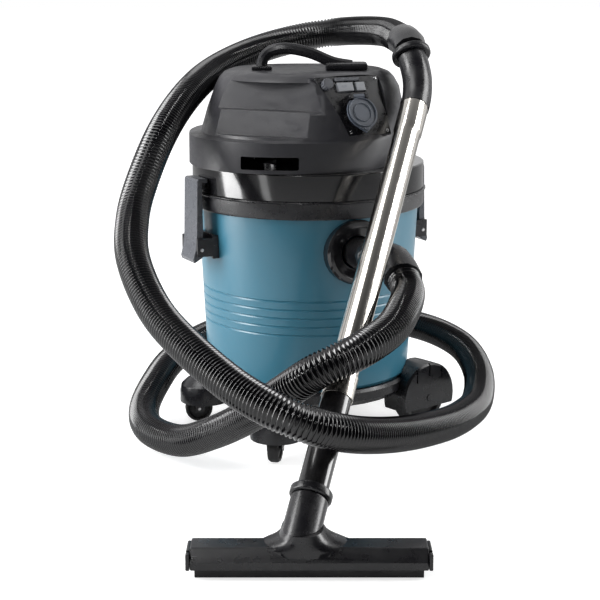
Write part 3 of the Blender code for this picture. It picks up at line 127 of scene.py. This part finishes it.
# %% World and floor
def make_world():
    """White to the camera and behind the object, dark grey towards the viewer's side."""
    world = bpy.data.worlds.new("studio")
    world.use_nodes = True
    tree = world.node_tree
    nodes, links = tree.nodes, tree.links
    nodes.clear()
    out = nodes.new("ShaderNodeOutputWorld")
    mix = nodes.new("ShaderNodeMixShader")
    seen, light = nodes.new("ShaderNodeBackground"), nodes.new("ShaderNodeBackground")
    seen.inputs["Color"].default_value = (1.0, 1.0, 1.0, 1.0)
    coords, split = nodes.new("ShaderNodeTexCoord"), nodes.new("ShaderNodeSeparateXYZ")
    ramp = nodes.new("ShaderNodeValToRGB")
    ramp.color_ramp.elements[0].position = 0.40
    ramp.color_ramp.elements[0].color = (0.012, 0.012, 0.013, 1.0)
    ramp.color_ramp.elements[1].position = 0.74
    ramp.color_ramp.elements[1].color = (0.95, 0.95, 0.96, 1.0)
    place = nodes.new("ShaderNodeMapRange")
    place.inputs["From Min"].default_value = -1.0
    rays = nodes.new("ShaderNodeLightPath")
    links.new(coords.outputs["Generated"], split.inputs["Vector"])
    links.new(split.outputs["Y"], place.inputs["Value"])
    links.new(place.outputs["Result"], ramp.inputs["Fac"])
    links.new(ramp.outputs["Color"], light.inputs["Color"])
    light.inputs["Strength"].default_value = 0.75
    links.new(rays.outputs["Is Camera Ray"], mix.inputs["Fac"])
    links.new(light.outputs["Background"], mix.inputs[1])
    links.new(seen.outputs["Background"], mix.inputs[2])
    links.new(mix.outputs["Shader"], out.inputs["Surface"])
    bpy.context.scene.world = world


FLOOR_NEAR, FLOOR_FAR = 0.8, 4.0        # where the floor starts to whiten, and where it is pure white
GLOW_NEAR, GLOW_FAR = 0.66, 1.1         # its glow to the camera at those two reaches
GLOW_OBJECT = 0.12                      # and the little it throws on the vacuum


def make_floor():
    """A sweep that whitens with distance to the camera, and hardly lights the vacuum from below."""
    bm = bmesh.new()
    bmesh.ops.create_grid(bm, x_segments=2, y_segments=2, size=20.0)
    mesh = bpy.data.meshes.new("studio_floor")
    bm.to_mesh(mesh)
    bm.free()
    floor = bpy.data.objects.new("studio_floor", mesh)
    floor.location = (0.0, 0.0, -0.0004)
    bpy.context.scene.collection.objects.link(floor)
    mat = bpy.data.materials.new("pale_sweep")
    mat.use_nodes = True
    shader = mat.node_tree.nodes["Principled BSDF"]
    shader.inputs["Base Color"].default_value = (0.62, 0.62, 0.62, 1.0)
    shader.inputs["Roughness"].default_value = 0.9
    shader.inputs["Specular IOR Level"].default_value = 0.1
    shader.inputs["Emission Color"].default_value = (1.0, 1.0, 1.0, 1.0)
    tree = mat.node_tree
    spot = tree.nodes.new("ShaderNodeNewGeometry")
    reach = tree.nodes.new("ShaderNodeVectorMath")
    reach.operation = "LENGTH"
    far = tree.nodes.new("ShaderNodeMapRange")
    for socket, value in (("From Min", FLOOR_NEAR), ("From Max", FLOOR_FAR), ("To Min", GLOW_NEAR),
                          ("To Max", GLOW_FAR)):
        far.inputs[socket].default_value = value
    rays = tree.nodes.new("ShaderNodeLightPath")
    dim = tree.nodes.new("ShaderNodeMapRange")
    dim.inputs["To Min"].default_value = GLOW_OBJECT
    tree.links.new(rays.outputs["Is Camera Ray"], dim.inputs["Value"])
    tree.links.new(spot.outputs["Position"], reach.inputs[0])
    tree.links.new(reach.outputs["Value"], far.inputs["Value"])
    tree.links.new(far.outputs["Result"], dim.inputs["To Max"])
    tree.links.new(dim.outputs["Result"], shader.inputs["Emission Strength"])
    mesh.materials.append(mat)


make_world()
make_floor()
print("world and floor made")

# %% [markdown]
# ## The suction hose
# Hoses like this are blown from black plastic with a round rib every five millimetres or so, so
# it bends freely and springs into wide loops. It could be a smooth tube with a bump map, but the
# ribs stand out along its edge and mirror the softboxes one by one, so they have to be real shape.
# The hose is therefore a mesh of rings swept along a smooth curve: the route is a handful of points
# where the hose leans on the wand, the floor and the head, and five rings are placed to a rib.

# %% Smooth route
HOSE_ROUTE = [Vector(p) for p in (
    (0.1284, -0.2725, 0.2751), (0.132, -0.300, 0.262), (0.122, -0.356, 0.252), (0.101, -0.417, 0.240),
    (0.060, -0.475, 0.228), (0.010, -0.488, 0.207), (-0.033, -0.452, 0.168), (-0.077, -0.387, 0.119),
    (-0.128, -0.306, 0.070), (-0.180, -0.239, 0.036), (-0.230, -0.165, 0.029), (-0.247, -0.085, 0.036),
    (-0.235, -0.010, 0.058), (-0.212, 0.070, 0.075), (-0.160, 0.175, 0.088), (-0.055, 0.243, 0.098),
    (0.070, 0.240, 0.103), (0.180, 0.175, 0.103), (0.243, 0.085, 0.094), (0.262, -0.020, 0.078),
    (0.248, -0.142, 0.067), (0.215, -0.245, 0.074), (0.170, -0.345, 0.090), (0.105, -0.465, 0.118),
    (0.040, -0.559, 0.150), (-0.020, -0.588, 0.177), (-0.083, -0.548, 0.199), (-0.147, -0.474, 0.230),
    (-0.197, -0.395, 0.262), (-0.232, -0.313, 0.310), (-0.240, -0.242, 0.351), (-0.232, -0.191, 0.394),
    (-0.208, -0.126, 0.456), (-0.179, -0.025, 0.501), (-0.145, 0.085, 0.529), (-0.088, 0.175, 0.553),
    (-0.017, 0.225, 0.571), (0.055, 0.228, 0.582), (0.118, 0.140, 0.586), (0.142, 0.020, 0.5795))]
HOSE_R = 0.0230


def smooth_line(route, count):
    """Points at even steps along a Catmull-Rom curve through a route."""
    way = np.array([tuple(p) for p in route])
    way = np.vstack([2 * way[0] - way[1], way, 2 * way[-1] - way[-2]])
    t = np.arange(24)[:, None] / 24
    fine = [0.5 * (2 * b + (c - a) * t + (2 * a - 5 * b + 4 * c - d) * t ** 2
                   + (3 * b - 3 * c + d - a) * t ** 3)
            for a, b, c, d in zip(way, way[1:], way[2:], way[3:])]
    fine = np.vstack(fine + [way[-2]])
    travel = np.concatenate([[0.0], np.cumsum(np.linalg.norm(np.diff(fine, axis=0), axis=1))])
    goals = np.linspace(0.0, travel[-1], count)
    return np.column_stack([np.interp(goals, travel, fine[:, k]) for k in range(3)]), travel[-1]


hose_line, hose_length = smooth_line([AXIS + p for p in HOSE_ROUTE], 800)
print("hose length %.3f m" % hose_length)


# %% Rings swept along a line
def swept_frames(line):
    """Two side vectors at each point of a line, carried along it without twist."""
    ahead = np.gradient(line, axis=0)
    ahead /= np.linalg.norm(ahead, axis=1)[:, None]
    side = np.cross(ahead[0], (0.0, 0.0, 1.0))
    side /= np.linalg.norm(side)
    sides = []
    for a in ahead:
        side = side - a * np.dot(side, a)
        side = side / np.linalg.norm(side)
        sides.append(side)
    sides = np.array(sides)
    return sides, np.cross(ahead, sides)


def swept_tube(name, line, radii, sides=28):
    """A closed mesh tube with its own radius at each point of a line."""
    u, v = swept_frames(line)
    turn = np.arange(sides) * 2 * pi / sides
    ring = u[:, None] * np.cos(turn)[None, :, None] + v[:, None] * np.sin(turn)[None, :, None]
    points = (line[:, None] + ring * np.asarray(radii)[:, None, None]).reshape(-1, 3)
    row, col = np.meshgrid(np.arange(len(line) - 1), np.arange(sides), indexing="ij")
    a, b = row * sides + col, row * sides + (col + 1) % sides
    quads = np.stack([a, b, b + sides, a + sides], -1).reshape(-1, 4).tolist()
    last = (len(line) - 1) * sides
    quads += [list(range(sides))[::-1], list(range(last, last + sides))]
    mesh = bpy.data.meshes.new(name)
    mesh.from_pydata(points.tolist(), [], quads)
    mesh.update()
    mesh.shade_smooth()
    obj = bpy.data.objects.new(name, mesh)
    bpy.context.scene.collection.objects.link(obj)
    return obj


# %% The ribbed hose
RIB_PITCH = 0.0053
RIB_DEEP = 0.0027
RIB_SHAPE = (0.0, 0.30, 0.90, 1.0, 0.45)    # share of a rib's height at each fifth of its pitch

ribs = int(hose_length / RIB_PITCH)
rib_line, _ = smooth_line([AXIS + p for p in HOSE_ROUTE], ribs * len(RIB_SHAPE) + 1)
rib_radii = [HOSE_R - RIB_DEEP + RIB_DEEP * RIB_SHAPE[i % len(RIB_SHAPE)]
             for i in range(len(rib_line))]
hose = swept_tube("ribbed_hose", rib_line, rib_radii)
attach(hose, BASE_BODY)
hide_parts("suction_hose")
print("hose ribs", ribs, "faces", len(hose.data.polygons))

# %% [markdown]
# ## Shared surface effects
# Moulded plastic and metal are never one flat value. Four effects turn up on most of this object, so
# each is a small node group that is built once: a moulding grain for the bump, cloudy handling marks
# that lift and lower the roughness, a little pale dust that lies on what faces up, and fine scratches.
# A group puts out only masks, colours and heights, and the shader stays in each material.


# %% Node group tools
def new_group(name, inputs, outputs):
    """An empty shader node group with float or colour sockets."""
    group = bpy.data.node_groups.new(name, "ShaderNodeTree")
    for socket, kind, value in inputs:
        made = group.interface.new_socket(socket, in_out="INPUT", socket_type=kind)
        made.default_value = value
    for socket, kind in outputs:
        group.interface.new_socket(socket, in_out="OUTPUT", socket_type=kind)
    return group, group.nodes.new("NodeGroupInput"), group.nodes.new("NodeGroupOutput")


def node(tree, kind, links=(), **values):
    """A node with plain settings, input values by name and links into it."""
    made = tree.nodes.new(kind)
    for key, value in values.items():
        if hasattr(made, key):
            setattr(made, key, value)
        else:
            made.inputs[key.replace("_", " ")].default_value = value
    for socket, source in links:
        tree.links.new(source, made.inputs[socket])
    return made


FLOAT, COLOR = "NodeSocketFloat", "NodeSocketColor"


def object_space(tree):
    return node(tree, "ShaderNodeTexCoord").outputs["Object"]


# %% Moulding grain
def grain_group():
    group, given, out = new_group("moulding_grain", (("Scale", FLOAT, 900.0), ("Swell", FLOAT, 0.35)),
                                  (("Height", FLOAT),))
    space = object_space(group)
    fine = node(group, "ShaderNodeTexNoise", [("Vector", space), ("Scale", given.outputs["Scale"])],
                Detail=3.0, Roughness=0.6)
    broad = node(group, "ShaderNodeTexNoise", [("Vector", space)], Scale=22.0, Detail=2.0)
    sway = node(group, "ShaderNodeMath",
                [(0, broad.outputs["Fac"]), (1, given.outputs["Swell"])], operation="MULTIPLY")
    total = node(group, "ShaderNodeMath", [(0, fine.outputs["Fac"]), (1, sway.outputs[0])],
                 operation="ADD")
    group.links.new(total.outputs[0], out.inputs["Height"])
    return group


# %% Handling marks
def handling_group():
    """Cloudy change of roughness with fine rubbed streaks in it."""
    group, given, out = new_group("handling_marks", (("Roughness", FLOAT, 0.4), ("Spread", FLOAT, 0.15)),
                                  (("Roughness", FLOAT), ("Mask", FLOAT)))
    space = object_space(group)
    cloud = node(group, "ShaderNodeTexNoise", [("Vector", space)], Scale=14.0, Detail=6.0,
                 Roughness=0.62)
    stretch = node(group, "ShaderNodeMapping", [("Vector", space)])
    stretch.inputs["Scale"].default_value = (70.0, 45.0, 90.0)
    stretch.inputs["Rotation"].default_value = (0.5, 0.3, 0.9)
    streak = node(group, "ShaderNodeTexNoise", [("Vector", stretch.outputs[0])], Scale=1.0, Detail=4.0)
    both = node(group, "ShaderNodeMath", [(0, cloud.outputs["Fac"]), (1, streak.outputs["Fac"])],
                operation="MULTIPLY")
    mask = node(group, "ShaderNodeMapRange", [("Value", both.outputs[0])], From_Min=0.16, From_Max=0.36)
    centred = node(group, "ShaderNodeMath", [(0, mask.outputs[0])], operation="SUBTRACT")
    centred.inputs[1].default_value = 0.5
    part = node(group, "ShaderNodeMath", [(0, centred.outputs[0]), (1, given.outputs["Spread"])],
                operation="MULTIPLY")
    rough = node(group, "ShaderNodeMath", [(0, part.outputs[0]), (1, given.outputs["Roughness"])],
                 operation="ADD", use_clamp=True)
    group.links.new(rough.outputs[0], out.inputs["Roughness"])
    group.links.new(mask.outputs[0], out.inputs["Mask"])
    return group


# %% Settled dust
def dust_group():
    """Lightens a colour where the surface faces up, broken by noise."""
    group, given, out = new_group(
        "settled_dust", (("Color", COLOR, (0.5, 0.5, 0.5, 1.0)), ("Dust", COLOR, (0.42, 0.40, 0.37, 1.0)),
                         ("Amount", FLOAT, 0.1)), (("Color", COLOR), ("Mask", FLOAT)))
    facing = node(group, "ShaderNodeSeparateXYZ",
                  [("Vector", node(group, "ShaderNodeNewGeometry").outputs["Normal"])])
    up = node(group, "ShaderNodeMapRange", [("Value", facing.outputs["Z"])], From_Min=0.1, From_Max=1.0)
    patch = node(group, "ShaderNodeTexNoise", [("Vector", object_space(group))], Scale=38.0, Detail=8.0,
                 Roughness=0.7)
    broken = node(group, "ShaderNodeMapRange", [("Value", patch.outputs["Fac"])], From_Min=0.38,
                  From_Max=0.72)
    mask = node(group, "ShaderNodeMath", [(0, up.outputs[0]), (1, broken.outputs[0])],
                operation="MULTIPLY")
    share = node(group, "ShaderNodeMath", [(0, mask.outputs[0]), (1, given.outputs["Amount"])],
                 operation="MULTIPLY")
    mix = node(group, "ShaderNodeMix", data_type="RGBA")
    group.links.new(share.outputs[0], mix.inputs["Factor"])
    group.links.new(given.outputs["Color"], mix.inputs["A"])
    group.links.new(given.outputs["Dust"], mix.inputs["B"])
    group.links.new(mix.outputs["Result"], out.inputs["Color"])
    group.links.new(share.outputs[0], out.inputs["Mask"])
    return group


# %% Fine scratches
def scratch_group():
    group, given, out = new_group("fine_scratches", (("Scale", FLOAT, 60.0), ("Stretch", FLOAT, 18.0)),
                                  (("Height", FLOAT),))
    space = object_space(group)
    heights = []
    for turn in ((0.3, 0.9, 0.2), (1.1, 0.2, 1.9)):
        spin = node(group, "ShaderNodeMapping", [("Vector", space)])
        spin.inputs["Rotation"].default_value = turn
        squeeze = node(group, "ShaderNodeCombineXYZ", X=1.0, Y=1.0)
        group.links.new(given.outputs["Stretch"], squeeze.inputs["Z"])
        scaled = node(group, "ShaderNodeVectorMath",
                      [(0, spin.outputs[0]), (1, squeeze.outputs[0])], operation="MULTIPLY")
        noise = node(group, "ShaderNodeTexNoise",
                     [("Vector", scaled.outputs[0]), ("Scale", given.outputs["Scale"])], Detail=2.0)
        line = node(group, "ShaderNodeMapRange", [("Value", noise.outputs["Fac"])], From_Min=0.66,
                    From_Max=0.74)
        heights.append(line.outputs[0])
    total = node(group, "ShaderNodeMath", [(0, heights[0]), (1, heights[1])], operation="MAXIMUM")
    group.links.new(total.outputs[0], out.inputs["Height"])
    return group


GRAIN, HANDLING, DUST, SCRATCH = grain_group(), handling_group(), dust_group(), scratch_group()
print("groups", [g.name for g in (GRAIN, HANDLING, DUST, SCRATCH)])

# %% [markdown]
# ## Finishes
# Each finish is one material. Its constant values sit on the shader's own sockets, and only what
# varies over the surface comes from a group: the dusted colour, the roughness and the bump height.


# %% Plastic and metal finishes
def use_group(tree, group, **values):
    made = tree.nodes.new("ShaderNodeGroup")
    made.node_tree = group
    for key, value in values.items():
        made.inputs[key].default_value = value
    return made


def finish(name, color, rough, spread=0.12, grain=900.0, bump=0.00003, dust=0.10, metallic=0.0,
           coat=0.0, scratches=False, specular=0.5):
    """A moulded or polished surface with its own grain, marks and dust."""
    mat = bpy.data.materials.new(name)
    mat.use_nodes = True
    tree = mat.node_tree
    shader = tree.nodes["Principled BSDF"]
    shader.inputs["Metallic"].default_value = metallic
    shader.inputs["Coat Weight"].default_value = coat
    shader.inputs["Coat Roughness"].default_value = 0.08
    shader.inputs["Specular IOR Level"].default_value = specular
    dusted = use_group(tree, DUST, Color=(*color, 1.0), Amount=dust)
    marks = use_group(tree, HANDLING, Roughness=rough, Spread=spread)
    tree.links.new(dusted.outputs["Color"], shader.inputs["Base Color"])
    tree.links.new(marks.outputs["Roughness"], shader.inputs["Roughness"])
    if scratches:
        height = use_group(tree, SCRATCH).outputs["Height"]
    else:
        height = use_group(tree, GRAIN, Scale=grain).outputs["Height"]
    rise = node(tree, "ShaderNodeBump", [("Height", height)], Strength=1.0, Distance=bump)
    tree.links.new(rise.outputs["Normal"], shader.inputs["Normal"])
    return mat


FINISHES = {
    "tank_teal": finish("teal_shell", (0.032, 0.145, 0.212), 0.30, 0.04, 700.0, 0.00002, 0.04, coat=0.15),
    "cover_charcoal": finish("charcoal_grain", (0.021, 0.021, 0.025), 0.40, 0.14, 1400.0, 0.00010, 0.05),
    "gloss_black": finish("polished_black", (0.005, 0.005, 0.006), 0.16, 0.05, bump=0.000004, dust=0.05,
                          coat=0.4),
    "satin_black": finish("satin_black", (0.009, 0.009, 0.011), 0.30, 0.14, 1100.0, 0.00003, 0.04),
    "lever_grey": finish("lever_grey", (0.075, 0.079, 0.090), 0.28, 0.06, 1200.0, 0.00004, 0.05),
    "flap_grey": finish("flap_slate", (0.060, 0.072, 0.095), 0.42, 0.10, 1200.0, 0.00004, 0.05),
    "switch_grey": finish("rocker_grey", (0.26, 0.27, 0.29), 0.32, 0.10, 1200.0, 0.00002, 0.04),
    "wand_chrome": finish("wand_chrome", (0.74, 0.71, 0.66), 0.13, 0.06, bump=0.000003, dust=0.02,
                          metallic=1.0, scratches=True),
    "steel": finish("plain_steel", (0.55, 0.55, 0.56), 0.30, 0.12, 1500.0, 0.00001, 0.04, metallic=1.0),
    "rubber": finish("moulded_rubber", (0.010, 0.010, 0.011), 0.62, 0.18, 700.0, 0.00008, 0.22),
    "hose_black": finish("hose_black", (0.003, 0.003, 0.004), 0.15, 0.05, 800.0, 0.000005, 0.0, coat=0.2),
    "filter_media": finish("filter_paper", (0.70, 0.66, 0.56), 0.85, 0.10, 300.0, 0.0002, 0.2),
}
hose.data.materials.append(FINISHES["hose_black"])
print("finishes", len(FINISHES))

# %% [markdown]
# ## Finish on the frame's pieces
# The frame's meshes are faceted and their corners are knife sharp, while moulded corners are always a
# little round and catch a line of light. Modifiers do this without touching the meshes: Weld joins
# the split corners, Bevel rounds what turns by more than 32 degrees, and Weighted Normal keeps the
# broad faces flat.

# %% Round the corners and give each node its material
SLOT_OF = {part["node"]: part["material_slot"] for part in frame["record"]["subparts"]}
NO_BEVEL = {"float_ball", "flap_pin"}
# Nodes finished otherwise than their slot says: the motor is kept dull behind the cover's slot, the
# axle ends are capped black, and the last stretch above the nozzle is a black tube.
OTHER_FINISH = {"motor_can": "rubber", "fan_housing": "rubber", "impeller": "rubber",
                "axle_right": "satin_black", "axle_back": "satin_black", "wand_lower": "gloss_black"}
WELD_REACH = 0.00002
EDGE_ROUND, SMALL_ROUND = 0.0007, 0.0003
EDGE_TURN = radians(32)
SMALL_EDGE = {"switch_power", "switch_mode", "filter_button", "speed_knob", "socket_flap", "socket_body",
              "exhaust_grille", "squeegee_front", "squeegee_rear", "nozzle_insert"}

for name, obj in NODES.items():
    obj.data.shade_smooth()
    weld = obj.modifiers.new("weld", "WELD")
    weld.merge_threshold = WELD_REACH
    if name not in NO_BEVEL:
        edge = obj.modifiers.new("soft_corner", "BEVEL")
        edge.width = SMALL_ROUND if name in SMALL_EDGE else EDGE_ROUND
        edge.segments = 2
        edge.limit_method = "ANGLE"
        edge.angle_limit = EDGE_TURN
        edge.harden_normals = False
    even = obj.modifiers.new("even_normals", "WEIGHTED_NORMAL")
    even.keep_sharp = True
    obj.data.materials.clear()
    obj.data.materials.append(FINISHES[OTHER_FINISH.get(name, SLOT_OF[name])])
print("finished nodes", len(NODES))

# %% [markdown]
# ## Fine moulded detail
# Small raised shapes catch the light where plain moulded faces would stay blank: the rims and the
# thumb rib on the socket's flap, and the screw heads in the panel.
# Each is placed by measuring the frame's own pieces, so it stays put if the frame's sizes change.


# %% Tools for placing detail
def world_points(name):
    obj = NODES[name]
    return np.array([tuple(obj.matrix_world @ v.co) for v in obj.data.vertices])


def plane_of(name, toward):
    """Middle of a flat piece, its across and up directions, and the way out of its face."""
    points = world_points(name)
    middle = points.mean(axis=0)
    out = Vector(np.linalg.svd(points - middle)[2][2])
    out = out if out.dot(toward) > 0 else -out
    across = Vector((0, 0, 1)).cross(out).normalized()
    top = max((points - middle) @ np.array(out))
    return Vector(middle), across, out.cross(across), out, top


def bead(name, line, radius, body, slot, sides=10):
    """A round bead along a line of points, riding on a body."""
    obj = swept_tube(name, np.array([tuple(p) for p in line]), [radius] * len(line), sides)
    obj.data.materials.append(FINISHES[slot])
    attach(obj, body)
    return obj


def ring_line(middle, across, up, radius, count=49):
    turns = [2 * pi * i / (count - 1) for i in range(count)]
    return [middle + across * (radius * cos(t)) + up * (radius * sin(t)) for t in turns]


# %% Flap rims and thumb rib
FRONT = Vector((0.3, -0.8, 0.4))
FLAP_POINT = 0.0300         # the flap's tip below the middle of the socket
RIM_SINK = 0.0005           # how far the rims are let into the flap's face
FLAP_RIMS = (("flap_rim", 0.0212, 0.0009), ("flap_ring", 0.0135, 0.0006))
THUMB_HALF, THUMB_DOWN, THUMB_CURVE, THUMB_R = 0.005, 0.0262, 90, 0.0008
flap_mid, FLAP_ACROSS, FLAP_UP, FLAP_OUT, flap_top = plane_of("socket_flap", FRONT)
low_up = min((world_points("socket_flap") - flap_mid) @ np.array(FLAP_UP))
SOCKET_MIDDLE = flap_mid + FLAP_UP * (low_up + FLAP_POINT) + FLAP_OUT * (flap_top - RIM_SINK)
FLAP_BODY = NODES["socket_flap"]["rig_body"]

for name, radius, thick in FLAP_RIMS:
    bead(name, ring_line(SOCKET_MIDDLE, FLAP_ACROSS, FLAP_UP, radius), thick, FLAP_BODY, "flap_grey")
thumb_line = [SOCKET_MIDDLE + FLAP_ACROSS * x - FLAP_UP * (THUMB_DOWN - THUMB_CURVE * x * x)
              for x in np.linspace(-THUMB_HALF, THUMB_HALF, 9)]
bead("flap_thumb_rib", thumb_line, THUMB_R, FLAP_BODY, "flap_grey")
print("flap detail on", FLAP_BODY)


# %% Screws in the panel
SCREW_R = 0.0024
HEAD_SHAPE = ((-0.0004, 1.0), (0.0006, 1.0), (0.0010, 0.8), (0.0012, 0.45))  # height, share of radius
# Painted shade of the cross recess: two black bars, whose heights are given here and whose size follows.
CROSS_HEIGHTS = (0.0002, 0.00125)
CROSS_LONG, CROSS_THIN = 0.62, 0.13                # half length and width, as shares of the radius
SCREW_SPOTS = ((-0.0185, -0.0245), (0.0415, -0.0245), (0.0415, 0.0550))


def screw(name, spot, out, across):
    """A pan head with a cross recess; the recess is not cut, its shade is painted as two crossed black
    bars let into the head.
    """
    head = swept_tube(name, np.array([tuple(spot + out * h) for h, _ in HEAD_SHAPE]),
                      [SCREW_R * share for _, share in HEAD_SHAPE], 20)
    head.data.materials.append(FINISHES["steel"])
    up = out.cross(across)
    # Painted shade: two black bars, flush with the head's top, stand in for the shadowed hollow of the
    # cross recess.
    marks = bmesh.new()
    for along, side in ((across, up), (up, across)):
        corners = [spot + out * h + (along * CROSS_LONG * a + side * CROSS_THIN * b) * SCREW_R
                   for h in CROSS_HEIGHTS for a, b in ((-1, -1), (1, -1), (1, 1), (-1, 1))]
        bmesh.ops.convex_hull(marks, input=[marks.verts.new(c) for c in corners])
    mesh = bpy.data.meshes.new(name + "_painted_recess_shade")
    marks.to_mesh(mesh)
    marks.free()
    # The bars take satin black as the painted shade inside the recess.
    mesh.materials.append(FINISHES["satin_black"])
    cross = bpy.data.objects.new(name + "_painted_recess_shade", mesh)
    bpy.context.scene.collection.objects.link(cross)
    for obj, slot in ((head, "steel"), (cross, "satin_black")):
        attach(obj, BASE_BODY)


panel_mid, _, _, PANEL_OUT, panel_top = plane_of("control_panel", FRONT)
for number, (x, y) in enumerate(SCREW_SPOTS):
    spot = SOCKET_MIDDLE + FLAP_ACROSS * x + FLAP_UP * y
    spot -= PANEL_OUT * ((spot - panel_mid).dot(PANEL_OUT) - panel_top)
    screw("panel_screw_%d" % (number + 1), spot, PANEL_OUT, FLAP_ACROSS)
print("panel plane", [round(v, 3) for v in PANEL_OUT])
